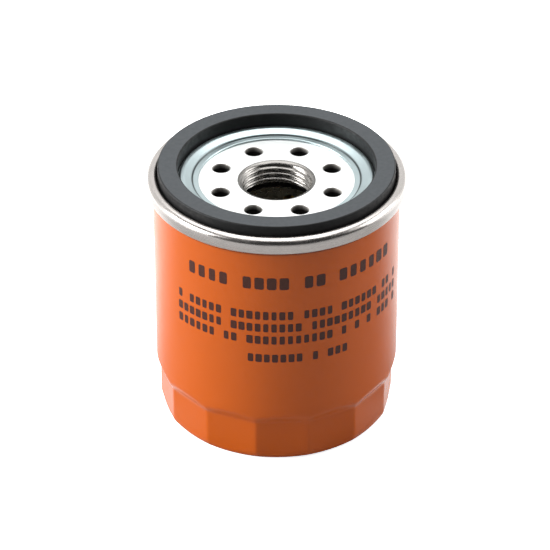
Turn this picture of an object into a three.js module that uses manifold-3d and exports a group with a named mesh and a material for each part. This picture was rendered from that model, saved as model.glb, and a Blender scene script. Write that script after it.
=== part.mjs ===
// A small spin-on engine oil filter, every pressed, rolled, moulded and coiled piece a solid of its own.
// Millimetres. +Z points at the engine, and the origin is the middle of the ring that the can stands on.
import * as THREE from "three";
import { mergeVertices } from "three/addons/utils/BufferGeometryUtils.js";
import Module from "manifold-3d";

const wasm = await Module();
wasm.setup();

// ---- Driving dimensions ----

// Can: a deep-drawn steel cup with wrench flats round its closed end.
const canRadius = 32.7;
const canSheet = 0.4;
const flatCount = 14;
const flatDepth = 1.8; // how far the middle of a flat lies inside the can's side
const flatHeight = 12.5; // where the flats end and the ledge begins
const ledgeSlope = 1.6; // the ledge's rise over its run
const flatTurn = THREE.MathUtils.degToRad(2.8); // how far the flats are turned from -Y
const canCornerRadius = 3.1;
const standingRingWidth = 4.6;
const recessDepth = 1.0;

// Seam: the can's hook and the lid's hook rolled into each other.
const seamGap = 0.1; // between one layer of sheet and the next
const seamRise = 2.6; // top of the seam above the tapping plate
const seamHeight = 4.4;
const seamCornerRadius = 0.95;
const hookOverlap = 1.9;

// Lid: the thin ring that holds the gasket and is rolled onto the can.
const lidSheet = 0.5;
const lidFlangeWidth = 1.6;
const beadWidth = 3.1;
const beadHeight = 1.1;

// Gasket
const gasketHeight = 4.5;
const gasketWidth = 5.28;
const gasketSideGap = 0.35; // to the lid's outer wall
const gasketBeadGap = 0.27; // to the lid's bead
const gasketChamfer = 0.5;

// Tapping plate: the thick plate with the 3/4-16 thread and the oil's way in.
const plateTop = 69.0; // above the standing ring: sets the filter's height
const plateThickness = 3.0;
const threadRadius = 9.525;
const threadPitch = 25.4 / 16;
const threadDepth = 0.775;
const threadMouthRadius = 1.75;
const neckWall = 2.475;
const neckLength = 6.4;
const neckFillet = 0.8;
const inletCount = 8;
const inletRadius = 2.325;
const inletCircle = 15.9;

// Anti-drainback valve: a rubber hub, held by the neck, with a flap that closes the inlets from below.
const hubWall = 1.4;
const hubHeight = 4.5; // from the element's upper cap to the tapping plate
const hubTail = 2.2; // below the element's upper cap
const footWidth = 3.2;
const footThickness = 0.9;
const flapThickness = 1.0;
const flapLap = 5.6; // how far the lip reaches beyond the inlets
const lipWidth = 1.1;

// Element: pleated paper between two caps, round a perforated tube.
const capSheet = 0.4;
const capSkirt = 3.0;
const oilWay = 4.8; // between the can and the element
const tubeSheet = 0.4;
const tubeHoleRadius = 2.1;
const tubeHoleRows = 4;
const tubeHoleColumns = 6;
const pleatCount = 32;
const paperThickness = 0.7;
const foldGap = 0.1; // half the space between the two plies of a fold
const plastisolThickness = 1.2;
const slideGap = 0.2; // round what slides or slips into its neighbour
const bondGap = 0.1; // round what is set into its neighbour
const clipSheet = 0.4;
const clipLength = 7.0; // from the clip's back to the ends of its legs
const seamPlyLength = 7.4; // the joined stretch of the paper's two ends

// Bypass valve: lifts into the tube when the paper is blocked.
const portRadius = 7.0;
const seatWall = 1.2;
const seatRise = 1.2;
const valveFlangeThickness = 1.2;
const valveSpigotRadius = 11.0;
const valveSpigotDepth = 1.0; // how far the spigot reaches down from the lower cap's top
const sealThickness = 1.0;
const poppetRadius = 9.4;
const poppetThickness = 0.6;
const poppetBossRadius = 3.6;
const poppetBossHeight = 1.0;
const pinRadius = 1.5;
const pinHeadRadius = 3.2;
const pinHeadThickness = 0.8;
const pinReach = 2.0; // above the cage
const bypassWireRadius = 0.45;
const bypassCoilRadius = 4.9;
const bypassCoilTurns = 4.5;
const bypassSpringHeight = 8.1;
const cageSheet = 0.5;
const cageRadius = 10.9;
const cageWindowWidth = 10.0;

// Load spring: a leaf spring that presses the element up against the tapping plate.
const loadSpringHeight = 8.6;
const loadSpringSheet = 0.6;
const loadRingWidth = 3.7;
const loadLegCount = 4;
const loadLegWidth = 7.0;
const loadFootLength = 2.4;

// ---- Places that follow from them ----

const canInnerRadius = canRadius - canSheet;
const flatReach = canRadius - flatDepth; // from the axis to the middle of a flat
const ridgeRadius = flatReach / Math.cos(Math.PI / flatCount);
const ringOuterRadius = ridgeRadius - canCornerRadius;
const ringInnerRadius = ringOuterRadius - standingRingWidth;
const ledgeRun = canRadius - ridgeRadius;

const seamTop = plateTop + seamRise;
const seamBottom = seamTop - seamHeight;
const lidWallOuter = canInnerRadius - seamGap;
const lidWallInner = lidWallOuter - lidSheet;
const lidHookInner = canRadius + seamGap;
const canHookInner = lidHookInner + lidSheet + seamGap;
const lidPanelInner = canHookInner + canSheet + seamGap;
const canFlangeTop = seamTop - lidSheet - seamGap;
const canHookEnd = seamBottom + lidSheet + 4 * seamGap;
const lidHookEnd = canHookEnd + hookOverlap;

const lidFloorTop = plateTop + lidSheet;
const gasketOuter = lidWallInner - gasketSideGap;
const gasketInner = gasketOuter - gasketWidth;
const beadOuter = gasketInner - gasketBeadGap;
const lidFlangeInner = beadOuter - beadWidth - lidFlangeWidth;
const gasketTop = lidFloorTop + gasketHeight;

const plateBottom = plateTop - plateThickness;
const plateRadius = lidWallInner - lidSheet;
const boreRadius = threadRadius - threadDepth;
const neckRadius = threadRadius + neckWall;
const neckBottom = plateTop - neckLength;

const hubRadius = neckRadius + hubWall;
const upperCapTop = plateBottom - hubHeight;
const lowerCapBottom = canSheet + loadSpringHeight;
const lowerCapTop = lowerCapBottom + capSheet;
const collarInner = hubRadius + slideGap;
const tubeInner = collarInner + capSheet + slideGap;
const tubeOuter = tubeInner + tubeSheet;
const elementRadius = canInnerRadius - oilWay;
const skirtInner = elementRadius - capSheet;
const paperInner = tubeOuter + 2 * slideGap;
const paperOuter = skirtInner - 3 * bondGap;
const paperTop = upperCapTop - capSheet - plastisolThickness;
const paperBottom = lowerCapTop + plastisolThickness;

const valveFlangeTop = lowerCapTop + valveFlangeThickness;
const seatTop = valveFlangeTop + seatRise;
const poppetBottom = seatTop + sealThickness;
const poppetTop = poppetBottom + poppetThickness;
const cageTop = poppetTop + bypassSpringHeight + cageSheet;

const fineSteps = 4 * flatCount; // facets round the can, the lid and the gasket
const innerSteps = 24; // facets round what is inside the can
const threadSteps = 12; // facets to a turn of the thread
const smallSteps = 16; // facets round the bypass valve's small pieces
const wireSides = 5;
const smallBend = 0.42; // a bend tighter than this is one facet
const cutOverlap = 0.15; // how far a cutter starts inside the hole that it widens

// ---- Outlines and solids ----

// A line through corners given as [radius, height, rounding], each rounded corner an arc.
function roundedLine(corners) {
  const points = corners.map(([radius, height]) => new THREE.Vector2(radius, height));
  return corners.flatMap(([, , rounding = 0], index) => {
    const corner = points[index];
    if (rounding === 0) return [corner];
    const arcSteps = rounding < smallBend ? 1 : 2;
    const into = corner.clone().sub(points[index - 1]).normalize();
    const out = points[index + 1].clone().sub(corner).normalize();
    const turn = Math.atan2(into.cross(out), into.dot(out));
    const reach = rounding * Math.tan(Math.abs(turn) / 2);
    const start = corner.clone().addScaledVector(into, -reach);
    const toCentre = new THREE.Vector2(-into.y, into.x).multiplyScalar(Math.sign(turn) * rounding);
    const centre = start.clone().add(toCentre);
    const steps = Array.from({ length: arcSteps + 1 }, (_, step) => step / arcSteps);
    return steps.map((share) => start.clone().rotateAround(centre, turn * share));
  });
}

// One point of a line, moved sideways by the distance so that both stretches it ends keep that distance.
function offsetPoint(line, index, distance) {
  const into = line[Math.max(index, 1)].clone().sub(line[Math.max(index, 1) - 1]).normalize();
  const next = Math.min(index + 1, line.length - 1);
  const out = line[next].clone().sub(line[next - 1]).normalize();
  const side = new THREE.Vector2(into.y, -into.x);
  const mitre = side.clone().add(new THREE.Vector2(out.y, -out.x)).normalize();
  return line[index].clone().addScaledVector(mitre, distance / mitre.dot(side));
}

// The closed outline of a sheet whose middle runs along the line.
function sheetOutline(line, thickness) {
  const near = line.map((_, index) => offsetPoint(line, index, thickness / 2));
  const far = line.map((_, index) => offsetPoint(line, index, -thickness / 2));
  return [...near, ...far.reverse()];
}

// An outline turned round Z. It runs anticlockwise, with radius to the right, and closes on itself.
function turned(outline, steps, startAngle = 0) {
  const points = outline.map((point) => (point.isVector2 ? point : new THREE.Vector2(...point)));
  if (THREE.ShapeUtils.area(points) < 0) points.reverse();
  if (points.every((point) => point.x > 0)) points.push(points[0].clone());
  return new THREE.LatheGeometry(points, steps, startAngle).rotateX(Math.PI / 2);
}

function pressedRing(corners, thickness, steps, startAngle = 0) {
  return turned(sheetOutline(roundedLine(corners), thickness), steps, startAngle);
}

// A flat outline drawn up from one height to another.
function prism(points, bottom, top) {
  const shape = new THREE.Shape(points.map(([x, y]) => new THREE.Vector2(x, y)));
  const geometry = new THREE.ExtrudeGeometry(shape, { depth: top - bottom, bevelEnabled: false });
  return geometry.translate(0, 0, bottom);
}

function toSolid(geometry) {
  const plain = geometry.clone();
  plain.deleteAttribute("normal");
  plain.deleteAttribute("uv");
  const merged = mergeVertices(plain);
  const vertProperties = merged.attributes.position.array;
  const triVerts = Uint32Array.from(merged.index.array);
  return new wasm.Manifold(new wasm.Mesh({ numProp: 3, vertProperties, triVerts }));
}

function toGeometry(solid) {
  const { vertProperties, triVerts } = solid.getMesh();
  const geometry = new THREE.BufferGeometry();
  geometry.setAttribute("position", new THREE.BufferAttribute(vertProperties, 3));
  geometry.setIndex(new THREE.BufferAttribute(triVerts, 1));
  geometry.computeVertexNormals();
  return geometry;
}

function withCuts(geometry, cutters) {
  return toGeometry(cutters.reduce((solid, cutter) => solid.subtract(toSolid(cutter)), toSolid(geometry)));
}

// A right-hand helix round Z. Its sections keep one side square to the axis all the way.
class Helix extends THREE.Curve {
  constructor(radius, pitch, bottom, top) {
    super();
    Object.assign(this, { radius, bottom, rise: top - bottom, turns: (top - bottom) / pitch });
  }

  getPoint(share, target = new THREE.Vector3()) {
    const angle = 2 * Math.PI * this.turns * share;
    const height = this.bottom + this.rise * share;
    return target.set(this.radius * Math.cos(angle), this.radius * Math.sin(angle), height);
  }

  computeFrenetFrames(segments) {
    const frames = { tangents: [], normals: [], binormals: [] };
    for (let step = 0; step <= segments; step += 1) {
      const angle = (2 * Math.PI * this.turns * step) / segments;
      frames.tangents.push(new THREE.Vector3(-Math.sin(angle), Math.cos(angle), 0));
      frames.normals.push(new THREE.Vector3(Math.cos(angle), Math.sin(angle), 0));
      frames.binormals.push(new THREE.Vector3(0, 0, -1));
    }
    return frames;
  }
}

function sweptAlong(helix, section, stepsPerTurn) {
  const steps = Math.ceil(helix.turns * stepsPerTurn);
  return new THREE.ExtrudeGeometry(section, { steps, extrudePath: helix, bevelEnabled: false });
}

function around(count, make) {
  return Array.from({ length: count }, (_, index) => make((2 * Math.PI * index) / count, index));
}

// ---- The assembly ----

const filter = new THREE.Group();

const finishes = {
  orangeEnamel: { color: 0xe8641e, roughness: 0.3, metalness: 0.0 },
  bareSteel: { color: 0xb4afad, roughness: 0.35, metalness: 1.0 },
  zincPlate: { color: 0xdde4e4, roughness: 0.3, metalness: 1.0 },
  springSteel: { color: 0x77787a, roughness: 0.35, metalness: 1.0 },
  blackRubber: { color: 0x26282a, roughness: 0.75, metalness: 0.0 },
  redRubber: { color: 0x9c3a26, roughness: 0.6, metalness: 0.0 },
  seamPaste: { color: 0x8a8f84, roughness: 0.8, metalness: 0.0 },
  plastisol: { color: 0xc9c2a8, roughness: 0.6, metalness: 0.0 },
  filterPaper: { color: 0xd8b25a, roughness: 0.9, metalness: 0.0 },
  nylon: { color: 0x2c2d30, roughness: 0.5, metalness: 0.0 },
};

function addPiece(name, geometry, finish) {
  const piece = new THREE.Mesh(geometry, new THREE.MeshStandardMaterial(finish));
  piece.name = name;
  filter.add(piece);
}

// ---- Can ----

// Presses the flats into the round cup: below the ledge they pull it in, and they raise the ledge's top edge.
function pressFlats(geometry) {
  const position = geometry.attributes.position;
  const flatAngle = (2 * Math.PI) / flatCount;
  const ledgeMiddle = flatHeight + (ledgeSlope * ledgeRun) / 2;
  for (let index = 0; index < position.count; index += 1) {
    const [x, y, z] = [position.getX(index), position.getY(index), position.getZ(index)];
    const radius = Math.hypot(x, y);
    const fromFlat = THREE.MathUtils.euclideanModulo(Math.atan2(x, -y) - flatTurn, flatAngle);
    const press = ridgeRadius - flatReach / Math.cos(Math.min(fromFlat, flatAngle - fromFlat));
    if (z < ledgeMiddle && radius > ringOuterRadius) {
      const share = Math.min(z / canCornerRadius, 1);
      const pulled = 1 - (press * share) / radius;
      position.setXY(index, x * pulled, y * pulled);
    } else if (z > ledgeMiddle && z < seamBottom) {
      position.setZ(index, z + press * ledgeSlope);
    }
  }
  geometry.computeVertexNormals();
  return geometry;
}

function makeCan() {
  const half = canSheet / 2;
  const hookMiddle = canHookInner + half;
  const corners = [
    [0, recessDepth + half],
    [ringInnerRadius - recessDepth, recessDepth + half],
    [ringInnerRadius, half],
    [ridgeRadius - half, half, canCornerRadius - half],
    [ridgeRadius - half, flatHeight],
    [canRadius - half, flatHeight + ledgeSlope * ledgeRun],
    [canRadius - half, canFlangeTop - half],
    [hookMiddle, canFlangeTop - half, seamCornerRadius - lidSheet],
    [hookMiddle, canHookEnd],
  ];
  return pressFlats(pressedRing(corners, canSheet, fineSteps, flatTurn));
}

addPiece("can", makeCan(), finishes.orangeEnamel);

// ---- Lid, seam compound and gasket ----

function makeLid() {
  const half = lidSheet / 2;
  const floor = plateTop + half;
  const bead = floor + beadHeight;
  const wall = lidWallInner + half;
  const panel = lidPanelInner + half;
  const hook = lidHookInner + half;
  const turnRadius = 0.45 * (panel - hook);
  const corners = [
    [lidFlangeInner, floor],
    [beadOuter - beadWidth, floor],
    [beadOuter - beadWidth / 2, bead],
    [beadOuter - half, bead],
    [beadOuter - half, floor],
    [wall, floor, lidSheet * 1.5],
    [wall, seamTop - half],
    [panel, seamTop - half, seamCornerRadius],
    [panel, seamBottom + half, turnRadius],
    [hook, seamBottom + half, turnRadius],
    [hook, lidHookEnd],
  ];
  return pressedRing(corners, lidSheet, fineSteps);
}

function makeSeamCompound() {
  const inner = lidHookInner;
  const outer = lidHookInner + lidSheet;
  const top = canFlangeTop - canSheet - 2 * seamGap;
  const bottom = lidHookEnd + seamGap;
  return turned([[inner, bottom], [outer, bottom], [outer, top], [inner, top]], fineSteps);
}

function makeGasket() {
  return turned([
    [gasketInner, lidFloorTop],
    [gasketOuter - gasketChamfer, lidFloorTop],
    [gasketOuter, lidFloorTop + gasketChamfer],
    [gasketOuter, gasketTop - gasketChamfer],
    [gasketOuter - gasketChamfer, gasketTop],
    [gasketInner + gasketChamfer, gasketTop],
    [gasketInner, gasketTop - gasketChamfer],
  ], fineSteps);
}

addPiece("seaming_lid", makeLid(), finishes.bareSteel);
addPiece("seam_compound", makeSeamCompound(), finishes.seamPaste);
addPiece("gasket", makeGasket(), finishes.blackRubber);

// ---- Tapping plate ----

// The groove of the internal thread, swept past both ends of the neck.
function makeThreadCutter() {
  const inside = boreRadius - cutOverlap;
  const helix = new Helix(inside, threadPitch, neckBottom - threadPitch, plateTop + threadPitch);
  const depth = threadRadius - inside;
  const tip = threadPitch / 16;
  const root = tip + depth * Math.tan(Math.PI / 6);
  const section = new THREE.Shape([[0, -root], [depth, -tip], [depth, tip], [0, root]].map(
    ([x, y]) => new THREE.Vector2(x, y),
  ));
  return sweptAlong(helix, section, threadSteps);
}

function makeInletCutter(angle) {
  const cutter = new THREE.CylinderGeometry(inletRadius, inletRadius, 3 * plateThickness, 12);
  cutter.rotateX(Math.PI / 2);
  cutter.translate(inletCircle, 0, plateTop);
  return cutter.rotateZ(angle + Math.PI / inletCount);
}

function makeTappingPlate() {
  const mouth = roundedLine([
    [2 * boreRadius, plateTop],
    [boreRadius, plateTop, threadMouthRadius],
    [boreRadius, neckBottom + threadDepth],
  ]).slice(1);
  const plate = turned([
    ...mouth,
    [boreRadius + threadDepth, neckBottom],
    [neckRadius, neckBottom],
    [neckRadius, plateBottom - neckFillet],
    [neckRadius + neckFillet, plateBottom],
    [plateRadius, plateBottom],
    [plateRadius, plateTop],
  ], innerSteps);
  return withCuts(plate, [makeThreadCutter(), ...around(inletCount, makeInletCutter)]);
}

addPiece("tapping_plate", makeTappingPlate(), finishes.zincPlate);

// ---- Anti-drainback valve ----

function makeDrainbackValve() {
  const lip = inletCircle + inletRadius + flapLap;
  const footTop = upperCapTop + footThickness;
  const flapRoot = plateBottom - flapThickness - hubWall;
  return turned([
    [neckRadius, upperCapTop - hubTail],
    [hubRadius, upperCapTop - hubTail],
    [hubRadius, upperCapTop],
    [hubRadius + footWidth, upperCapTop],
    [hubRadius + footWidth, footTop],
    [hubRadius + footThickness, footTop],
    [hubRadius + footThickness, flapRoot - flapThickness],
    [lip - flapThickness, plateBottom - flapThickness],
    [lip, plateBottom - flapThickness / 2],
    [lip - flapThickness / 2, plateBottom],
    [lip - lipWidth, plateBottom],
    [lip - lipWidth - flapThickness / 2, plateBottom - flapThickness / 2],
    [hubRadius + flapThickness / 2, flapRoot],
    [hubRadius, flapRoot + flapThickness / 2],
    [hubRadius, plateBottom],
    [neckRadius + neckFillet + slideGap, plateBottom],
    [neckRadius, plateBottom - neckFillet - slideGap],
  ], innerSteps);
}

addPiece("anti_drainback_valve", makeDrainbackValve(), finishes.blackRubber);

// ---- Element ----

function makeUpperEndCap() {
  const half = capSheet / 2;
  return pressedRing([
    [collarInner + half, upperCapTop - capSkirt],
    [collarInner + half, upperCapTop - half, capSheet],
    [elementRadius - half, upperCapTop - half, capSheet],
    [elementRadius - half, upperCapTop - capSkirt],
  ], capSheet, innerSteps);
}

function makeLowerEndCap() {
  const half = capSheet / 2;
  return pressedRing([
    [valveSpigotRadius + slideGap, lowerCapBottom + half],
    [elementRadius - half, lowerCapBottom + half, capSheet],
    [elementRadius - half, lowerCapBottom + capSkirt],
  ], capSheet, innerSteps);
}

// The ring of set plastisol between a cap and the paper, its edge cleared for the cap's bend.
function makePlastisol(capFace, paperFace) {
  const inner = tubeOuter + slideGap;
  const outer = skirtInner - bondGap;
  const bendClearance = capSheet * Math.sign(paperFace - capFace);
  return turned([
    [inner, capFace],
    [outer - capSheet, capFace],
    [outer, capFace + bendClearance],
    [outer, paperFace],
    [inner, paperFace],
  ], innerSteps);
}

function makeCenterTube() {
  const top = upperCapTop - capSheet - bondGap;
  const outline = [[tubeInner, lowerCapTop], [tubeOuter, lowerCapTop], [tubeOuter, top], [tubeInner, top]];
  const rowStep = (paperTop - paperBottom) / tubeHoleRows;
  const cutters = [];
  for (let row = 0; row < tubeHoleRows; row += 1) {
    for (let column = 0; column < tubeHoleColumns / 2; column += 1) {
      const cutter = new THREE.CylinderGeometry(tubeHoleRadius, tubeHoleRadius, 3 * tubeOuter, 6);
      cutter.translate(0, 0, paperBottom + rowStep * (row + 0.5));
      cutters.push(cutter.rotateZ((2 * Math.PI * (column + 0.25)) / tubeHoleColumns));
    }
  }
  return withCuts(turned(outline, innerSteps), cutters);
}

// A point beside the ray at the angle: so far out along it, and so far to its left.
function besideRay(angle, out, left) {
  const [cos, sin] = [Math.cos(angle), Math.sin(angle)];
  return [out * cos - left * sin, out * sin + left * cos];
}

// The paper strip folded into pleats. Its two ends lie side by side, pointing out, under the clip.
function makePleatedMedia() {
  const pleatAngle = (2 * Math.PI) / pleatCount;
  const plyOuter = foldGap + paperThickness;
  const plyStart = paperOuter - clipSheet - seamPlyLength;
  const plyEnd = paperOuter - clipSheet - bondGap - paperThickness;
  const outside = [besideRay(0, plyEnd, plyOuter), besideRay(0, plyStart, plyOuter)];
  const inside = [besideRay(0, plyEnd, foldGap), besideRay(0, plyStart, foldGap)];
  for (let pleat = 0; pleat < pleatCount; pleat += 1) {
    const valley = pleatAngle * (pleat + 0.5);
    const valleyFloor = paperInner + paperThickness;
    outside.push(besideRay(valley, valleyFloor, -foldGap), besideRay(valley, valleyFloor, foldGap));
    inside.push(besideRay(valley, paperInner, -plyOuter), besideRay(valley, paperInner, plyOuter));
    if (pleat === pleatCount - 1) continue;
    const tip = pleatAngle * (pleat + 1);
    const tipInside = paperOuter - paperThickness;
    outside.push(besideRay(tip, paperOuter, -plyOuter), besideRay(tip, paperOuter, plyOuter));
    inside.push(besideRay(tip, tipInside, -foldGap), besideRay(tip, tipInside, foldGap));
  }
  outside.push(besideRay(0, plyStart, -plyOuter), besideRay(0, plyEnd, -plyOuter));
  inside.push(besideRay(0, plyStart, -foldGap), besideRay(0, plyEnd, -foldGap));
  return prism([...outside, ...inside.reverse()], paperBottom, paperTop);
}

// The folded steel strip that grips the paper's two ends from outside.
function makeMediaClip() {
  const slot = foldGap + paperThickness + bondGap;
  const side = slot + clipSheet;
  const back = paperOuter - paperThickness;
  const front = back - clipLength;
  const outline = [
    besideRay(0, front, -side), besideRay(0, back, -side), besideRay(0, back, side), besideRay(0, front, side),
    besideRay(0, front, slot), besideRay(0, back - clipSheet, slot),
    besideRay(0, back - clipSheet, -slot), besideRay(0, front, -slot),
  ];
  return prism(outline, paperBottom + slideGap, paperTop - slideGap);
}

addPiece("upper_end_cap", makeUpperEndCap(), finishes.zincPlate);
addPiece("lower_end_cap", makeLowerEndCap(), finishes.zincPlate);
addPiece("upper_plastisol", makePlastisol(upperCapTop - capSheet, paperTop), finishes.plastisol);
addPiece("lower_plastisol", makePlastisol(lowerCapTop, paperBottom), finishes.plastisol);
addPiece("center_tube", makeCenterTube(), finishes.zincPlate);
addPiece("pleated_media", makePleatedMedia(), finishes.filterPaper);
addPiece("media_seam_clip", makeMediaClip(), finishes.bareSteel);

// ---- Bypass valve ----

function makeValveBody() {
  const flangeRadius = tubeInner - slideGap;
  const seatOuter = portRadius + seatWall;
  return turned([
    [portRadius, lowerCapTop - valveSpigotDepth],
    [valveSpigotRadius, lowerCapTop - valveSpigotDepth],
    [valveSpigotRadius, lowerCapTop],
    [flangeRadius, lowerCapTop],
    [flangeRadius, valveFlangeTop],
    [seatOuter + seatWall / 3, valveFlangeTop],
    [seatOuter, seatTop],
    [portRadius + seatWall / 3, seatTop],
    [portRadius, seatTop - seatWall / 3],
  ], smallSteps);
}

function makeSeal() {
  const inner = pinRadius + bondGap;
  const outline = [[inner, seatTop], [poppetRadius, seatTop], [poppetRadius, poppetBottom], [inner, poppetBottom]];
  return turned(outline, smallSteps);
}

function makePoppet() {
  return turned([
    [pinRadius + bondGap, poppetBottom],
    [poppetRadius, poppetBottom],
    [poppetRadius, poppetTop],
    [poppetBossRadius, poppetTop],
    [poppetBossRadius, poppetTop + poppetBossHeight],
    [pinRadius + bondGap, poppetTop + poppetBossHeight],
  ], smallSteps);
}

function makeGuidePin() {
  return turned([
    [0, seatTop - pinHeadThickness],
    [pinHeadRadius, seatTop - pinHeadThickness],
    [pinHeadRadius, seatTop],
    [pinRadius, seatTop],
    [pinRadius, cageTop + pinReach - pinRadius / 2],
    [pinRadius / 2, cageTop + pinReach],
    [0, cageTop + pinReach],
  ], 12);
}

function makeBypassSpring() {
  const bottom = poppetTop + bypassWireRadius;
  const top = cageTop - cageSheet - bypassWireRadius;
  const helix = new Helix(bypassCoilRadius, (top - bottom) / bypassCoilTurns, bottom, top);
  const wire = around(wireSides, (angle) => new THREE.Vector2(Math.cos(angle), Math.sin(angle)));
  const section = new THREE.Shape(wire.map((point) => point.multiplyScalar(bypassWireRadius)));
  return sweptAlong(helix, section, smallSteps);
}

function makeCage() {
  const half = cageSheet / 2;
  const cage = pressedRing([
    [tubeInner - 3 * slideGap, valveFlangeTop + half],
    [cageRadius - half, valveFlangeTop + half, cageSheet],
    [cageRadius - half, cageTop - half, cageSheet],
    [pinRadius + 2 * slideGap, cageTop - half],
  ], cageSheet, smallSteps);
  const bottom = valveFlangeTop + 2 * cageSheet;
  const windowHeight = cageTop - 2 * cageSheet - bottom;
  const cutters = [0, Math.PI / 2].map((angle) => {
    const cutter = new THREE.BoxGeometry(3 * cageRadius, cageWindowWidth, windowHeight);
    return cutter.translate(0, 0, bottom + windowHeight / 2).rotateZ(angle);
  });
  return withCuts(cage, cutters);
}

addPiece("bypass_valve_body", makeValveBody(), finishes.nylon);
addPiece("bypass_seal", makeSeal(), finishes.redRubber);
addPiece("bypass_poppet", makePoppet(), finishes.zincPlate);
addPiece("bypass_guide_pin", makeGuidePin(), finishes.bareSteel);
addPiece("bypass_spring", makeBypassSpring(), finishes.springSteel);
addPiece("bypass_spring_retainer", makeCage(), finishes.zincPlate);

// ---- Load spring ----

function makeLoadSpring() {
  const half = loadSpringSheet / 2;
  const ringInner = valveSpigotRadius + 3 * slideGap;
  const ringOuter = ringInner + loadRingWidth;
  const ringTop = lowerCapBottom;
  const ringBottom = ringTop - loadSpringSheet;
  const ring = turned([
    [ringInner, ringBottom], [ringOuter, ringBottom], [ringOuter, ringTop], [ringInner, ringTop],
  ], innerSteps);
  const footEnd = ringOuterRadius - canSheet - slideGap;
  const footStart = footEnd - loadFootLength;
  const legLine = roundedLine([
    [ringInner + loadRingWidth / 2, ringTop - half],
    [ringOuter + loadRingWidth / 2, ringTop - half, loadSpringSheet * 2],
    [footStart, canSheet + half, loadSpringSheet * 2],
    [footEnd, canSheet + half],
  ]);
  const legShape = new THREE.Shape(sheetOutline(legLine, loadSpringSheet));
  const legs = around(loadLegCount, (angle) => {
    const leg = new THREE.ExtrudeGeometry(legShape, { depth: loadLegWidth, bevelEnabled: false });
    return leg.translate(0, 0, -loadLegWidth / 2).rotateX(Math.PI / 2).rotateZ(angle);
  });
  return toGeometry(legs.reduce((solid, leg) => solid.add(toSolid(leg)), toSolid(ring)));
}

addPiece("load_spring", makeLoadSpring(), finishes.springSteel);

export default filter;
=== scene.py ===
"""Builds the visible pieces of a small spin-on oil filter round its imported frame.

Lengths are in metres, +Z points at the engine, and angles round Z start at -Y.
"""

import math

import bmesh
import bpy
from bpy.props import FloatProperty, FloatVectorProperty, IntProperty, PointerProperty
from mathutils import Matrix, Vector


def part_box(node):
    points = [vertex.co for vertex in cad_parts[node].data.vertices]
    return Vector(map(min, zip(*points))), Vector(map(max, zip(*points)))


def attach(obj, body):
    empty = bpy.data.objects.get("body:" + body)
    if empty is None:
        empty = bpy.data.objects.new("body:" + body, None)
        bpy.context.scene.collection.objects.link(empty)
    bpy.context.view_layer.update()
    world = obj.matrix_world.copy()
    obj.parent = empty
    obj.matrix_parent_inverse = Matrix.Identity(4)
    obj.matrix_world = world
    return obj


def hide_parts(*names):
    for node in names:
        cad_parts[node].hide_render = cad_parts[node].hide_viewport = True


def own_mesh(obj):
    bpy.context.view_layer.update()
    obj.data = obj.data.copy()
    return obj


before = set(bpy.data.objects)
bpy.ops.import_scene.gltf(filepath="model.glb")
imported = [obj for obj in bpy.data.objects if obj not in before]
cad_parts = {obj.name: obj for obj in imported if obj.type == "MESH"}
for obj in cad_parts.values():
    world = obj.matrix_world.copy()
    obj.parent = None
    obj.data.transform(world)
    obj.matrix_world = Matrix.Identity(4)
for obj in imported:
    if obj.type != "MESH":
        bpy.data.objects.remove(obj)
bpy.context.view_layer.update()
MM = 0.001
DOUBLE = 0.0001 * MM
NOISE_SPAN = (0.3, 0.7)

bl_info = {
    "name": "Spin-on oil filter",
    "version": (1, 0, 0),
    "blender": (4, 5, 0),
    "location": "3D View > Sidebar > Oil filter",
    "description": "Builds a small spin-on engine oil filter piece by piece",
    "category": "Add Mesh",
}


def bottom_of(node):
    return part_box(node)[0].z


def top_of(node):
    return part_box(node)[1].z


def radius_of(node):
    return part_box(node)[1].y


# ---- Settings ----


def length(name, description, default):
    return FloatProperty(
        name=name, description=description, default=default, min=0.0, precision=5, unit="LENGTH"
    )


def degrees(name, description, default):
    return FloatProperty(name=name, description=description, default=math.radians(default), subtype="ANGLE")


def plain_number(name, description, default):
    return FloatProperty(name=name, description=description, default=default, min=0.0)


def whole_number(name, description, default, least=1):
    return IntProperty(name=name, description=description, default=default, min=least)


def color(name, description, code):
    return FloatVectorProperty(
        name=name, description=description, default=linear(code), size=4, min=0.0, max=1.0, subtype="COLOR"
    )


def linear(code):
    """An sRGB hex colour as linear red, green, blue and alpha."""
    channels = [int(code[start : start + 2], 16) / 255 for start in (1, 3, 5)]
    return (*(c / 12.92 if c <= 0.04045 else ((c + 0.055) / 1.055) ** 2.4 for c in channels), 1.0)


class CanSettings(bpy.types.PropertyGroup):
    radius: length("Radius", "Outside of the can's side", 32.7 * MM)
    sheet: length("Sheet", "Thickness of the drawn steel", 0.4 * MM)
    flats: whole_number("Flats", "Wrench flats round the closed end", 14, least=3)
    flat_turn: degrees("Flats' turn", "Turn of the first flat from -Y", 2.8)
    flat_depth: length("Flat depth", "How far a flat's middle lies inside the can's side", 1.8 * MM)
    ridge_softness: length("Ridge softness", "How far a ridge between flats is worn down", 0.06 * MM)
    flat_height: length("Flat height", "Where the flats end and the ledge begins", 12.5 * MM)
    ledge_slope: plain_number("Ledge slope", "The ledge's rise over its run", 1.6)
    ledge_softness: length("Ledge softness", "How far the ledge's edges are eased", 0.24 * MM)
    corner: length("Corner", "Radius of the closed end's corner", 3.1 * MM)
    ring_width: length("Ring width", "Flat ring that the can stands on", 4.6 * MM)
    recess: length("Recess", "Depth of the closed end's recess", 1.0 * MM)
    enamel: color("Enamel", "Colour of the stoved enamel", "#C95A08")


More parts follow.
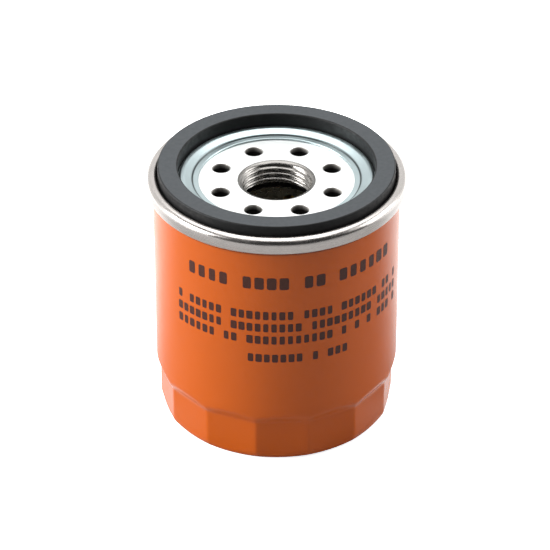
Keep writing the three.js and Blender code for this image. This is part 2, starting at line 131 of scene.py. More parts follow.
class SeamSettings(bpy.types.PropertyGroup):
    sheet: length("Sheet", "Thickness of the lid's steel", 0.5 * MM)
    gap: length("Gap", "Space between two layers of the seam", 0.1 * MM)
    shoulder: length("Shoulder", "Radius of the seam's outer bends, in the middle of the sheet", 1.55 * MM)
    taper: length("Taper", "How far the seam draws in towards its lower edge", 0.3 * MM)
    bead_width: length("Bead width", "Width of the bead inside the gasket", 3.6 * MM)
    bead_height: length("Bead height", "Height of the bead above the lid's floor", 1.1 * MM)
    flange_width: length("Flange width", "Flat ring between the bead and the lid's hole", 1.35 * MM)
    plating: color("Plating", "Colour of the lid's passivated zinc", "#AEBCBE")
    steel: color("Steel", "Colour of the rolled steel", "#C4BFBB")


class GasketSettings(bpy.types.PropertyGroup):
    width: length("Width", "Width of the gasket's ring", 5.28 * MM)
    rounding: length("Rounding", "Radius of the gasket's moulded edges", 0.45 * MM)
    rubber: color("Rubber", "Colour of the nitrile rubber", "#0F1011")
    # Painted sheen: a lighter, bluish copy of the rubber's colour for the flat top face, standing in for the
    # light from above that the face catches.
    top_sheen: color("Bloom", "Colour of the ground and bloomed sealing face", "#34393D")


class PlateSettings(bpy.types.PropertyGroup):
    thickness: length("Thickness", "Thickness of the tapping plate", 3.0 * MM)
    thread_radius: length("Thread radius", "Major radius of the 3/4-16 thread", 9.525 * MM)
    thread_pitch: length("Thread pitch", "Rise of one turn of the thread", 25.4 / 16 * MM)
    thread_depth: length("Thread depth", "Radial depth of the thread", 0.775 * MM)
    mouth: length("Mouth", "Radius of the thread's rounded mouth", 1.75 * MM)
    neck_wall: length("Neck wall", "Thickness of the neck outside the thread", 2.475 * MM)
    inlets: whole_number("Inlets", "Holes that let the oil in", 8)
    inlet_radius: length("Inlet radius", "Radius of an inlet", 2.325 * MM)
    inlet_rim: length("Inlet rim", "Rounding that the punch leaves round an inlet", 0.45 * MM)
    inlet_circle: length("Inlet circle", "Radius of the circle that the inlets lie on", 15.9 * MM)
    zinc: color("Zinc", "Colour of the zinc plating", "#F5F7F6")


class PrintSettings(bpy.types.PropertyGroup):
    ink: color("Ink", "Colour of the printed blocks", "#481B06")
    heading_height: length("Heading height", "Height of the heading's blocks", 3.6 * MM)
    line_height: length("Line height", "Height of the small blocks", 2.5 * MM)
    thickness: length("Thickness", "How far the ink stands out of the enamel", 0.02 * MM)


class ElementSettings(bpy.types.PropertyGroup):
    sheet: length("Sheet", "Thickness of the caps and the tube", 0.4 * MM)
    pleats: whole_number("Pleats", "Folds round the element", 32, least=8)
    paper: length("Paper", "Thickness of the pleated paper", 0.7 * MM)
    fold_gap: length("Fold gap", "Half the space between the two plies of a fold", 0.1 * MM)
    clip_length: length("Clip length", "From the seam clip's back to the ends of its legs", 7.0 * MM)
    hole_radius: length("Hole radius", "Radius of the tube's perforations", 2.1 * MM)
    hole_rows: whole_number("Hole rows", "Rows of perforations", 4)
    hole_columns: whole_number("Hole columns", "Perforations round a row", 6)
    paper_color: color("Paper colour", "Colour of the resin-treated paper", "#D9B45C")


class StageSettings(bpy.types.PropertyGroup):
    distance: length("Distance", "From the camera to the filter's axis at the seam", 793.455 * MM)
    elevation: degrees("Elevation", "Height angle of the camera", 31.276)
    aim_drop: degrees("Aim drop", "How far below the seam the camera aims", 1.859)
    lens: FloatProperty(name="Lens", description="Focal length", default=197.0, subtype="DISTANCE_CAMERA")
    floor: color("Floor", "Colour of the floor", "#FAFAFA")
    floor_bounce: color("Floor bounce", "Colour that the floor throws onto the filter", "#B0B0B0")
    floor_glow: plain_number("Floor glow", "Light of the lit table top", 0.9)
    floor_shine: plain_number("Floor shine", "Light of the table beside and behind, in reflections", 0.9)
    wall_light: plain_number("Wall light", "Brightness of the wall behind", 1.4)
    room_light: plain_number("Room light", "Brightness of the room in front", 0.06)


SETTING_GROUPS = {
    "can": CanSettings,
    "seam": SeamSettings,
    "gasket": GasketSettings,
    "plate": PlateSettings,
    "print": PrintSettings,
    "element": ElementSettings,
    "stage": StageSettings,
}


class FilterSettings(bpy.types.PropertyGroup):
    can: PointerProperty(type=CanSettings)
    seam: PointerProperty(type=SeamSettings)
    gasket: PointerProperty(type=GasketSettings)
    plate: PointerProperty(type=PlateSettings)
    print: PointerProperty(type=PrintSettings)
    element: PointerProperty(type=ElementSettings)
    stage: PointerProperty(type=StageSettings)


# ---- Outlines and meshes ----


def rounded_line(corners, steps=6):
    """Points through corners given as (radius, height, rounding), each rounded corner an arc."""
    points = [Vector(corner[:2]) for corner in corners]
    line = []
    for index, corner in enumerate(corners):
        rounding = corner[2] if len(corner) > 2 else 0.0
        if rounding == 0.0:
            line.append(points[index])
            continue
        into = (points[index] - points[index - 1]).normalized()
        out = (points[(index + 1) % len(points)] - points[index]).normalized()
        turn = math.atan2(into.x * out.y - into.y * out.x, into.dot(out))
        start = points[index] - into * rounding * math.tan(abs(turn) / 2)
        centre = start + Vector((-into.y, into.x)) * math.copysign(rounding, turn)
        for step in range(steps + 1):
            line.append(centre + Matrix.Rotation(turn * step / steps, 2) @ (start - centre))
    return line


def sheet_outline(line, thickness, rounded_start=False):
    """The closed outline of a sheet whose middle runs along the line, its first edge square or rounded."""
    near, far = [], []
    for index, point in enumerate(line):
        before = max(index, 1)
        after = min(index + 1, len(line) - 1)
        into = (line[before] - line[before - 1]).normalized()
        out = (line[after] - line[after - 1]).normalized()
        side = Vector((into.y, -into.x))
        mitre = (side + Vector((out.y, -out.x))).normalized()
        reach = mitre * (thickness / 2 / mitre.dot(side))
        near.append(point + reach)
        far.append(point - reach)
    edge = []
    edge_steps = 6 if rounded_start else 0
    for step in range(1, edge_steps):
        edge.append(line[0] + Matrix.Rotation(math.pi * step / edge_steps, 2) @ (far[0] - line[0]))
    return near + far[::-1] + edge


def ring_section(node, inner, lower_rounding, upper_rounding, steps=4, inner_rounding=None):
    """The section of a plain ring between the inner radius and the node's outside, on the node's height."""
    low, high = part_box(node)
    lower_inner = lower_rounding if inner_rounding is None else inner_rounding
    upper_inner = upper_rounding if inner_rounding is None else inner_rounding
    return rounded_line([
        (inner, low.z, lower_inner), (high.y, low.z, lower_rounding),
        (high.y, high.z, upper_rounding), (inner, high.z, upper_inner),
    ], steps)


def split_line(line, longest):
    """The same line with points added, so that no stretch is longer than that."""
    points = [line[0]]
    for start, end in zip(line, line[1:]):
        count = max(1, math.ceil((end - start).length / longest))
        points += [start.lerp(end, step / count) for step in range(1, count + 1)]
    return points


def guarded(line, distance=0.12 * MM):
    """The same line with a point near both ends of a long stretch, so that a bend keeps its shading."""
    points = [line[0]]
    for start, end in zip(line, line[1:]):
        share = distance / max((end - start).length, distance)
        if share < 0.2:
            points += [start.lerp(end, share), start.lerp(end, 1 - share)]
        points.append(end)
    return points


def shaded(mesh, sharp_angle=35):
    """Smooth shading but for sharp edges and level faces."""
    level = 0.9999
    mesh.shade_smooth()
    mesh.set_sharp_from_angle(angle=math.radians(sharp_angle))
    for face in mesh.polygons:
        if abs(face.normal.z) > level:
            face.use_smooth = False
    return mesh


def filled(name, build):
    """A mesh that a bmesh function fills."""
    mesh = bpy.data.meshes.new(name)
    work = bmesh.new()
    build(work)
    work.to_mesh(mesh)
    work.free()
    return mesh


def close_up(work, distance=DOUBLE):
    """Merges doubles and turns the faces outwards."""
    bmesh.ops.remove_doubles(work, verts=work.verts, dist=distance)
    bmesh.ops.recalc_face_normals(work, faces=work.faces)


def turned(name, outline, steps=192, press=None, start_angle=0.0):
    """An outline turned round Z. It closes on itself, or starts and ends on the axis.

    press, if given, moves a point: it takes the radius, height and angle and returns the new radius
    and height.
    """
    on_axis = any(point[0] < DOUBLE for point in outline)
    outline = guarded(outline if on_axis else [*outline, outline[0]])
    if not on_axis:
        outline = outline[:-1]
    count = len(outline)

    def build(work):
        rings = []
        for step in range(steps):
            angle = start_angle + 2 * math.pi * step / steps
            ring = []
            for radius, height in outline:
                if press:
                    radius, height = press(radius, height, angle)
                ring.append(work.verts.new((radius * math.sin(angle), -radius * math.cos(angle), height)))
            rings.append(ring)
        for step in range(steps):
            here, there = rings[step], rings[(step + 1) % steps]
            for index in range(count - 1 if on_axis else count):
                after = (index + 1) % count
                work.faces.new((here[index], there[index], there[after], here[after]))
        close_up(work)

    return shaded(filled(name, build))


def pressed_ring(name, corners, thickness, steps=192, bend_steps=6, rounded_start=False):
    """A ring of sheet whose middle goes through the corners."""
    line = rounded_line(corners, bend_steps)
    return turned(name, sheet_outline(line, thickness, rounded_start), steps)


def prism(name, points, bottom, top):
    """A flat outline drawn up from one height to another."""

    def build(work):
        low = [work.verts.new((x, y, bottom)) for x, y in points]
        high = [work.verts.new((x, y, top)) for x, y in points]
        work.faces.new(low[::-1])
        work.faces.new(high)
        for index in range(len(points)):
            after = (index + 1) % len(points)
            work.faces.new((low[index], low[after], high[after], high[index]))
        close_up(work)

    return shaded(filled(name, build))


def add_node(tree, kind, inputs=(), **settings):
    """Adds a node with its settings and its inputs: values, other nodes' outputs, or nodes in use."""
    node = tree.nodes.new(kind)
    for key, value in settings.items():
        setattr(node, key, value)
    for key, value in dict(inputs).items():
        give(tree, node.inputs[key], value)
    return node


def give(tree, socket, value):
    """Sets an input, or links it to an output or to a node's first output in use."""
    if isinstance(value, bpy.types.Node):
        value = next(output for output in value.outputs if output.enabled)
    if isinstance(value, bpy.types.NodeSocket):
        tree.links.new(value, socket)
    else:
        socket.default_value = value


def new_geometry_tree(name, inputs):
    """A geometry tree with its group input node and that node's outputs by name."""
    tree = bpy.data.node_groups.new(name, "GeometryNodeTree")
    for label, kind in inputs.items():
        tree.interface.new_socket(name=label, in_out="INPUT", socket_type=kind)
    tree.interface.new_socket(name="Geometry", in_out="OUTPUT", socket_type="NodeSocketGeometry")
    return tree, add_node(tree, "NodeGroupInput").outputs


def finish_tree(tree, geometry, material, smooth=True):
    """Ends a tree in real geometry of one material."""
    real = add_node(tree, "GeometryNodeRealizeInstances", {"Geometry": geometry})
    shade = add_node(tree, "GeometryNodeSetShadeSmooth", {"Geometry": real, "Shade Smooth": smooth})
    paint = add_node(tree, "GeometryNodeSetMaterial", {"Geometry": shade, "Material": material})
    add_node(tree, "NodeGroupOutput", {"Geometry": paint})
    return tree


def grown(name, tree, values, base=None):
    """The plain mesh that a geometry tree makes from a base mesh and its named inputs."""
    source = bpy.data.objects.new(f"{name}_source", base or bpy.data.meshes.new(f"{name}_base"))
    bpy.context.scene.collection.objects.link(source)
    modifier = source.modifiers.new("grow", "NODES")
    modifier.node_group = tree
    for item in tree.interface.items_tree:
        if item.item_type == "SOCKET" and item.in_out == "INPUT" and item.name in values:
            modifier[item.identifier] = values[item.name]
    return applied(name, source)


def applied(name, source):
    """An object's mesh with its modifiers made real. The object itself is removed."""
    graph = bpy.context.evaluated_depsgraph_get()
    mesh = bpy.data.meshes.new_from_object(source.evaluated_get(graph), depsgraph=graph)
    mesh.name = name
    bpy.data.objects.remove(source)
    return mesh


def combined(name, mesh, tool_mesh, operation):
    """The mesh with the tool's volume taken away (DIFFERENCE) or joined to it (UNION)."""
    source = bpy.data.objects.new(f"{name}_blank", mesh)
    tool = bpy.data.objects.new(f"{name}_tool", tool_mesh)
    for item in (source, tool):
        bpy.context.scene.collection.objects.link(item)
    modifier = source.modifiers.new("combine", "BOOLEAN")
    modifier.object = tool
    modifier.operation = operation
    modifier.solver = "EXACT"
    result = applied(name, source)
    bpy.data.objects.remove(tool)
    return result


def add_piece(name, mesh, material, body, slot, *nodes):
    """Puts a finished mesh in the scene, standing for the named nodes and riding on the body."""
    if material is not None:
        mesh.materials.clear()
        mesh.materials.append(material)
    piece = bpy.data.objects.new(name, mesh)
    bpy.context.scene.collection.objects.link(piece)
    if nodes:
        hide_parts(*nodes)
    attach(piece, body)
    return piece


def squash_upright(piece):
    """Gives the piece a mesh of its own."""
    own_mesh(piece)


# ---- Geometry trees ----


def ring_of_copies_tree(material):
    """Copies the base mesh round Z, but for the left-out first ones, and welds neighbours that meet."""
    tree, given = new_geometry_tree("ring_of_copies", {
        "Geometry": "NodeSocketGeometry", "Count": "NodeSocketInt", "Left out": "NodeSocketInt",
        "Weld": "NodeSocketFloat",
    })
    count, first = given["Count"], given["Left out"]
    number = add_node(tree, "ShaderNodeMath", {0: count, 1: first}, operation="SUBTRACT")
    points = add_node(tree, "GeometryNodeMeshLine", {"Count": number, "Offset": (0, 0, 0)})
    index = add_node(tree, "GeometryNodeInputIndex")
    place = add_node(tree, "ShaderNodeMath", {0: index, 1: first}, operation="ADD")
    share = add_node(tree, "ShaderNodeMath", {0: place, 1: count}, operation="DIVIDE")
    angle = add_node(tree, "ShaderNodeMath", {0: share, 1: 2 * math.pi}, operation="MULTIPLY")
    turn = add_node(tree, "ShaderNodeCombineXYZ", {"Z": angle})
    copies = add_node(tree, "GeometryNodeInstanceOnPoints", {
        "Points": points, "Instance": given["Geometry"], "Rotation": turn,
    })
    real = add_node(tree, "GeometryNodeRealizeInstances", {"Geometry": copies})
    weld = add_node(tree, "GeometryNodeMergeByDistance", {"Geometry": real, "Distance": given["Weld"]})
    return finish_tree(tree, weld, material, smooth=False)


def coil_tree(material):
    """A round wire coiled round Z, right-handed, with half a turn lying flat at each end."""
    flat_turns = 0.5
    steps_per_turn = 40
    wire_sides = 12
    tree, given = new_geometry_tree("coil", {
        "Coil radius": "NodeSocketFloat", "Wire radius": "NodeSocketFloat", "Turns": "NodeSocketFloat",
        "Bottom": "NodeSocketFloat", "Rise": "NodeSocketFloat",
    })
    spiral = add_node(tree, "GeometryNodeCurveSpiral", {
        "Resolution": steps_per_turn, "Rotations": given["Turns"], "Start Radius": given["Coil radius"],
        "End Radius": given["Coil radius"], "Height": 0.0,
    })
    along = add_node(tree, "GeometryNodeSplineParameter").outputs["Factor"]
    turns = add_node(tree, "ShaderNodeMath", {0: along, 1: given["Turns"]}, operation="MULTIPLY")
    last = add_node(tree, "ShaderNodeMath", {0: given["Turns"], 1: flat_turns}, operation="SUBTRACT")
    top = add_node(tree, "ShaderNodeMath", {0: given["Bottom"], 1: given["Rise"]}, operation="ADD")
    height = add_node(tree, "ShaderNodeMapRange", {
        "Value": turns, "From Min": flat_turns, "From Max": last, "To Min": given["Bottom"], "To Max": top,
    })
    lift = add_node(tree, "ShaderNodeCombineXYZ", {"Z": height})
    risen = add_node(tree, "GeometryNodeSetPosition", {"Geometry": spiral, "Offset": lift})
    wire = add_node(tree, "GeometryNodeCurvePrimitiveCircle", {
        "Resolution": wire_sides, "Radius": given["Wire radius"],
    })
    mesh = add_node(tree, "GeometryNodeCurveToMesh", {
        "Curve": risen, "Profile Curve": wire, "Fill Caps": True,
    })
    return finish_tree(tree, mesh, material)


def printed_row_tree(material):
    """A row of upright blocks along an arc of the can's side, with a gap here and there."""
    gap_share = 0.16
    narrowest = 0.72
    tree, given = new_geometry_tree("printed_row", {
        "Geometry": "NodeSocketGeometry", "Radius": "NodeSocketFloat", "Height": "NodeSocketFloat",
        "From": "NodeSocketFloat", "To": "NodeSocketFloat",
        "Count": "NodeSocketInt", "Seed": "NodeSocketInt",
    })
    points = add_node(tree, "GeometryNodeMeshLine", {"Count": given["Count"], "Offset": (0, 0, 0)})
    index = add_node(tree, "GeometryNodeInputIndex")
    angle = add_node(tree, "ShaderNodeMapRange", {
        "Value": index, "From Max": given["Count"], "To Min": given["From"], "To Max": given["To"],
    })
    sine = add_node(tree, "ShaderNodeMath", {0: angle}, operation="SINE")
    cosine = add_node(tree, "ShaderNodeMath", {0: angle}, operation="COSINE")
    x = add_node(tree, "ShaderNodeMath", {0: sine, 1: given["Radius"]}, operation="MULTIPLY")
    back = add_node(tree, "ShaderNodeMath", {0: cosine, 1: given["Radius"]}, operation="MULTIPLY")
    y = add_node(tree, "ShaderNodeMath", {0: back, 1: -1.0}, operation="MULTIPLY")
    place = add_node(tree, "ShaderNodeCombineXYZ", {"X": x, "Y": y, "Z": given["Height"]})
    placed = add_node(tree, "GeometryNodeSetPosition", {"Geometry": points, "Position": place})
    gap = add_node(tree, "FunctionNodeRandomValue", {
        "Probability": gap_share, "Seed": given["Seed"],
    }, data_type="BOOLEAN")
    kept = add_node(tree, "GeometryNodeDeleteGeometry", {"Geometry": placed, "Selection": gap})
    position = add_node(tree, "GeometryNodeInputPosition")
    spread = add_node(tree, "ShaderNodeSeparateXYZ", {0: position}).outputs
    behind = add_node(tree, "ShaderNodeMath", {0: spread["Y"], 1: -1.0}, operation="MULTIPLY")
    facing = add_node(tree, "ShaderNodeMath", {0: spread["X"], 1: behind}, operation="ARCTAN2")
    turn = add_node(tree, "ShaderNodeCombineXYZ", {"Z": facing})
    width = add_node(tree, "FunctionNodeRandomValue", {
        2: narrowest, 3: 1.0, "Seed": given["Seed"],
    }, data_type="FLOAT")
    size = add_node(tree, "ShaderNodeCombineXYZ", {"X": width, "Y": 1.0, "Z": 1.0})
    blocks = add_node(tree, "GeometryNodeInstanceOnPoints", {
        "Points": kept, "Instance": given["Geometry"], "Rotation": turn, "Scale": size,
    })
    return finish_tree(tree, blocks, material, smooth=False)


# ---- Materials ----


def darker(rgba, share):
    return (*(channel * share for channel in rgba[:3]), 1.0)


class Finish:
    """A material in the making: its shader, and the object's own coordinates in metres."""

    def __init__(self, name, base, roughness, metallic=0.0, ior=1.45, coat=0.0, coat_roughness=0.1):
        self.material = bpy.data.materials.new(name)
        self.material.use_nodes = True
        self.tree = self.material.node_tree
        self.tree.nodes.clear()
        self.shader = add_node(self.tree, "ShaderNodeBsdfPrincipled", {
            "Base Color": base, "Roughness": roughness, "Metallic": metallic, "IOR": ior,
            "Coat Weight": coat, "Coat Roughness": coat_roughness,
        })
        add_node(self.tree, "ShaderNodeOutputMaterial", {"Surface": self.shader})
        self.place = add_node(self.tree, "ShaderNodeTexCoord").outputs["Object"]

    def give(self, socket, value):
        give(self.tree, self.shader.inputs[socket], value)

    def grain(self, size, detail=2.0, stretch=(1.0, 1.0, 1.0)):
        """Noise whose lumps are about that size in metres, longer along an axis stretched above 1."""
        scale = tuple(1.0 / part for part in stretch)
        mapped = add_node(self.tree, "ShaderNodeMapping", {"Vector": self.place, "Scale": scale})
        return add_node(self.tree, "ShaderNodeTexNoise", {
            "Vector": mapped, "Scale": 1.0 / size, "Detail": detail,
        }).outputs["Fac"]

    def along(self, axis):
        return add_node(self.tree, "ShaderNodeSeparateXYZ", {0: self.place}).outputs[axis]

    def from_axis(self):
        flat = add_node(self.tree, "ShaderNodeMapping", {"Vector": self.place, "Scale": (1, 1, 0)})
        return add_node(self.tree, "ShaderNodeVectorMath", {0: flat}, operation="LENGTH").outputs["Value"]

    def blend(self, factor, low, high):
        """From one colour to another over the pattern."""
        mix = add_node(self.tree, "ShaderNodeMix", {0: factor, 6: low, 7: high}, data_type="RGBA")
        return mix.outputs[2]

    def ramp(self, value, start, end, low=0.0, high=1.0, kind="LINEAR"):
        """From low to high as the value goes from start to end."""
        return add_node(self.tree, "ShaderNodeMapRange", {
            "Value": value, "From Min": start, "From Max": end, "To Min": low, "To Max": high,
        }, interpolation_type=kind).outputs[0]

    def vary(self, socket, factor, low, high):
        """Runs one of the shader's inputs from one number to another over the pattern's usual span."""
        self.give(socket, self.ramp(factor, *NOISE_SPAN, low, high, kind="SMOOTHSTEP"))

    def raise_bumps(self, factor, depth):
        """Bumps of that depth in metres."""
        self.give("Normal", add_node(self.tree, "ShaderNodeBump", {"Height": factor, "Distance": depth}))


def orange_enamel(code, seam_edge):
    """Stoved enamel sprayed on drawn steel: a smooth gloss with faint orange peel, and a band of painted
    shadow under the seam.
    """
    painted_shade_start, painted_shade_full = seam_edge - 1.4 * MM, seam_edge - 0.5 * MM
    finish = Finish("orange_enamel", code, 0.22)
    finish.give("Specular IOR Level", 0.4)
    # Painted shadow: just under the seam the enamel darkens to 0.3 of its colour, standing in for the shadow
    # under the seam's overhang.
    painted_shade = finish.ramp(finish.along("Z"), painted_shade_start, painted_shade_full, kind="SMOOTHSTEP")
    sprayed = finish.blend(finish.grain(18 * MM), darker(code, 0.97), code)
    finish.give("Base Color", finish.blend(painted_shade, sprayed, darker(code, 0.3)))
    finish.vary("Roughness", finish.grain(9 * MM), 0.2, 0.24)
    finish.raise_bumps(finish.grain(1.2 * MM, detail=0.0), 0.0008 * MM)
    return finish.material


def rolled_zinc_steel(rolled, plated, plated_radius, crease_radius):
    """Zinc-coated sheet: bluish satin inside the gasket with a painted shadow line along the bead's crease,
    burnished grey outside.

    The rolling lines are 0.05 mm apart on the real sheet and drawn ten times as coarse, so that they show.
    """
    fade = 4 * MM
    crease_shade_core, crease_shade_edge = 0.08 * MM, 0.34 * MM
    finish = Finish("rolled_zinc_steel", rolled, 0.3, metallic=1.0)
    reach = finish.from_axis()
    inside = finish.ramp(reach, plated_radius, plated_radius + fade, 1.0, 0.0)
    clouds = finish.grain(3 * MM, detail=4.0)
    tinted = finish.blend(clouds, plated, darker(plated, 1.12))
    worn = finish.blend(clouds, darker(rolled, 0.86), rolled)
    # Painted shade: a ring about 0.3 mm either side of the bead's crease darkens towards 0.16 of the
    # plating, standing in for the shadow line in the crease.
    off_crease = add_node(finish.tree, "ShaderNodeMath", {0: reach, 1: crease_radius}, operation="SUBTRACT")
    from_crease = add_node(finish.tree, "ShaderNodeMath", {0: off_crease}, operation="ABSOLUTE")
    crease_shade = finish.ramp(from_crease, crease_shade_core, crease_shade_edge, 1.0, 0.0)
    crease_shaded = finish.blend(crease_shade, tinted, darker(plated, 0.16))
    finish.give("Base Color", finish.blend(inside, worn, crease_shaded))
    rolling = finish.grain(0.5 * MM, stretch=(12.0, 12.0, 1.0))
    burnished = finish.ramp(rolling, *NOISE_SPAN, 0.2, 0.33)
    satin = add_node(finish.tree, "ShaderNodeMath", {
        0: inside, 1: 0.08, 2: burnished,
    }, operation="MULTIPLY_ADD")
    finish.give("Roughness", satin)
    finish.raise_bumps(rolling, 0.003 * MM)
    return finish.material


def zinc_plate(code):
    """Bright zinc on stamped plate: pale and cool, its shine broken by fine rings and passivation clouds.

    The rings are tool marks 0.1 mm apart, drawn at 0.25 mm so that they show.
    """
    ring_spacing = 0.25 * MM
    finish = Finish("zinc_plate", code, 0.45, metallic=1.0)
    finish.give("Base Color", finish.blend(finish.grain(4 * MM, detail=4.0), darker(code, 0.93), code))
    wavy = add_node(finish.tree, "ShaderNodeMath", {
        0: finish.from_axis(), 1: 1.0 / ring_spacing,
    }, operation="MULTIPLY")
    rings = add_node(finish.tree, "ShaderNodeTexNoise", {"W": wavy, "Scale": 1.0}, noise_dimensions="1D")
    finish.vary("Roughness", rings.outputs["Fac"], 0.4, 0.5)
    finish.raise_bumps(finish.grain(0.8 * MM), 0.003 * MM)
    return finish.material


def cut_thread(thread_radius):
    """Freshly tapped steel, wet with oil, with painted shade that darkens it outwards from the crests: a
    little in the roots, and most on the rounded mouth, as a painted dark reflection.

    The tool's chatter is 0.05 mm long on the real thread and drawn at 0.3 mm.
    """
    code = linear("#A19E9A")
    mouth_shade_start, mouth_shade_end = thread_radius - 0.2 * MM, thread_radius + 0.5 * MM
    finish = Finish("cut_thread_steel", code, 0.24, metallic=1.0, coat=0.2, coat_roughness=0.05)
    # Painted shade and painted reflection: the colour darkens with distance from the axis, slightly in the
    # thread's roots and to 0.42 of itself on the mouth's rounding.
    mouth = finish.ramp(finish.from_axis(), mouth_shade_start, mouth_shade_end)
    finish.give("Base Color", finish.blend(mouth, code, darker(code, 0.42)))
    turning = finish.grain(0.3 * MM, detail=1.0, stretch=(6.0, 6.0, 1.0))
    finish.vary("Roughness", turning, 0.2, 0.3)
    finish.raise_bumps(turning, 0.0015 * MM)
    return finish.material


def punched_wall(top):
    """The torn wall of a punched hole: dull grey near its rim, with painted shade that turns it near black
    lower down.
    """
    code = linear("#D4D1CC")
    full_shade_depth, shade_start_depth = 1.7 * MM, 0.5 * MM
    finish = Finish("punched_steel", code, 0.65, metallic=1.0)
    tearing = finish.grain(0.35 * MM, stretch=(1.0, 1.0, 5.0))
    # Painted shade: the wall darkens to near black from 0.5 mm to 1.7 mm below the plate's top, standing in
    # for the shade deep in the hole.
    depth_shade = finish.ramp(finish.along("Z"), top - full_shade_depth, top - shade_start_depth, 0.07, 1.0)
    torn = finish.ramp(tearing, 0.0, 1.0, 0.7, 1.0)
    shade = add_node(finish.tree, "ShaderNodeMath", {0: depth_shade, 1: torn}, operation="MULTIPLY")
    finish.give("Base Color", finish.blend(shade, darker(code, 0.02), code))
    finish.vary("Roughness", tearing, 0.5, 0.75)
    finish.raise_bumps(tearing, 0.01 * MM)
    return finish.material


def grained(finish, code, shade, mottling, roughness, blotches, bumps, depth):
    """Ends a plain finish: mottled darker by the shade, blotched between two roughnesses, finely bumped."""
    finish.give("Base Color", finish.blend(mottling, darker(code, shade), code))
    finish.vary("Roughness", blotches, *roughness)
    if bumps:
        finish.raise_bumps(bumps, depth)
    return finish.material


def moulded_rubber(name, code, roughness, coat=0.0, gloss=0.5):
    """Moulded nitrile: dull black with an even grain, drawn five times as coarse as the mould's 0.05 mm.

    A film of oil lies on it where it has a coat.
    """
    finish = Finish(name, code, roughness, ior=1.52, coat=coat, coat_roughness=0.15)
    finish.give("Specular IOR Level", gloss)
    return grained(
        finish, code, 0.85, finish.grain(3 * MM), (roughness - 0.06, roughness + 0.06),
        finish.grain(1.2 * MM, detail=3.0), finish.grain(0.25 * MM), 0.006 * MM,
    )


def tinplate():
    """Tinned sheet, pressed: pale warm metal with soft scuffs.

    Its rolled grain is 0.06 mm wide on the real sheet and drawn ten times as coarse.
    """
    code = linear("#CFCCC4")
    finish = Finish("tinplate", code, 0.33, metallic=1.0)
    return grained(
        finish, code, 0.86, finish.grain(6 * MM, detail=5.0), (0.26, 0.42),
        finish.grain(0.6 * MM, stretch=(1.0, 10.0, 1.0)), finish.grain(1.0 * MM), 0.004 * MM,
    )


def pressed_steel(name, code, low, high):
    """Plain or oiled spring steel: grey, with darker heat tint in patches and a grain drawn at 0.5 mm."""
    finish = Finish(name, code, (low + high) / 2, metallic=1.0)
    return grained(
        finish, code, 0.75, finish.grain(5 * MM, detail=4.0), (low, high),
        finish.grain(0.4 * MM), finish.grain(0.5 * MM), 0.005 * MM,
    )


def filter_paper(code):
    """Resin-treated cellulose: matt, slightly mottled, its 0.03 mm fibres drawn ten times as coarse."""
    finish = Finish("filter_paper", code, 0.85)
    fibres = finish.grain(0.35 * MM, detail=5.0, stretch=(1.0, 1.0, 3.0))
    return grained(finish, code, 0.72, fibres, (0.78, 0.92), finish.grain(2 * MM), fibres, 0.03 * MM)


def set_paste(name, code, roughness):
    """Cast plastisol or seam compound: dull and lumpy, as it was poured and cured."""
    finish = Finish(name, code, roughness, ior=1.5)
    return grained(
        finish, code, 0.85, finish.grain(3 * MM, detail=3.0), (roughness - 0.1, roughness + 0.1),
        finish.grain(1.5 * MM), finish.grain(1.2 * MM), 0.03 * MM,
    )


def moulded_nylon():
    """Glass-filled nylon: near black and half matt, with flow marks."""
    code = linear("#2E3034")
    finish = Finish("moulded_nylon", code, 0.45, ior=1.53)
    return grained(
        finish, code, 0.8, finish.grain(2 * MM, stretch=(3.0, 1.0, 1.0)), (0.38, 0.55),
        finish.grain(1 * MM), finish.grain(0.3 * MM), 0.005 * MM,
    )


def printing_ink(code):
    """Pad-printed ink: a thin brown film, duller than the enamel and a little uneven."""
    finish = Finish("printing_ink", code, 0.5)
    return grained(
        finish, code, 0.7, finish.grain(0.7 * MM, detail=3.0), (0.45, 0.6), finish.grain(0.5 * MM), None, 0.0
    )


# ---- Can ----


def soft_least(first, second, softness):
    """The smaller of two lengths, eased where they cross."""
    least = min(first, second)
    return least - softness * math.log1p(math.exp(-abs(first - second) / softness))


def can_press(settings):
    """How the flats, the ledge above them and the rounded closed end draw in the can's plain side."""
    middle = settings.radius - settings.flat_depth
    sector = 2 * math.pi / settings.flats
    ridge = middle / math.cos(sector / 2)
    corner_radius = settings.radius - settings.corner
    ramp_start = corner_radius - settings.ring_width

    def press(radius, height, angle):
        from_flat = (angle - settings.flat_turn + sector / 2) % sector - sector / 2
        this_flat = middle / math.cos(from_flat)
        next_flat = middle / math.cos(sector - abs(from_flat))
        side = soft_least(this_flat, next_flat, settings.ridge_softness)
        above = (height - settings.flat_height) / settings.ledge_slope
        ease = settings.ledge_softness * 0.7
        ledge = ease * (math.log1p(math.exp(-abs(above) / ease)) + max(above, 0) / ease)
        drawn = settings.radius - soft_least(settings.radius, side + ledge, settings.ledge_softness)
        if height < settings.corner:
            share = max(height / settings.corner, 0.0)
            share = share * share * (3 - 2 * share)
            drawn = (settings.radius - ridge) + (drawn - (settings.radius - ridge)) * share
        reach = min(max((radius - ramp_start) / (corner_radius - ramp_start), 0.0), 1.0)
        return radius - drawn * reach, height

    return press


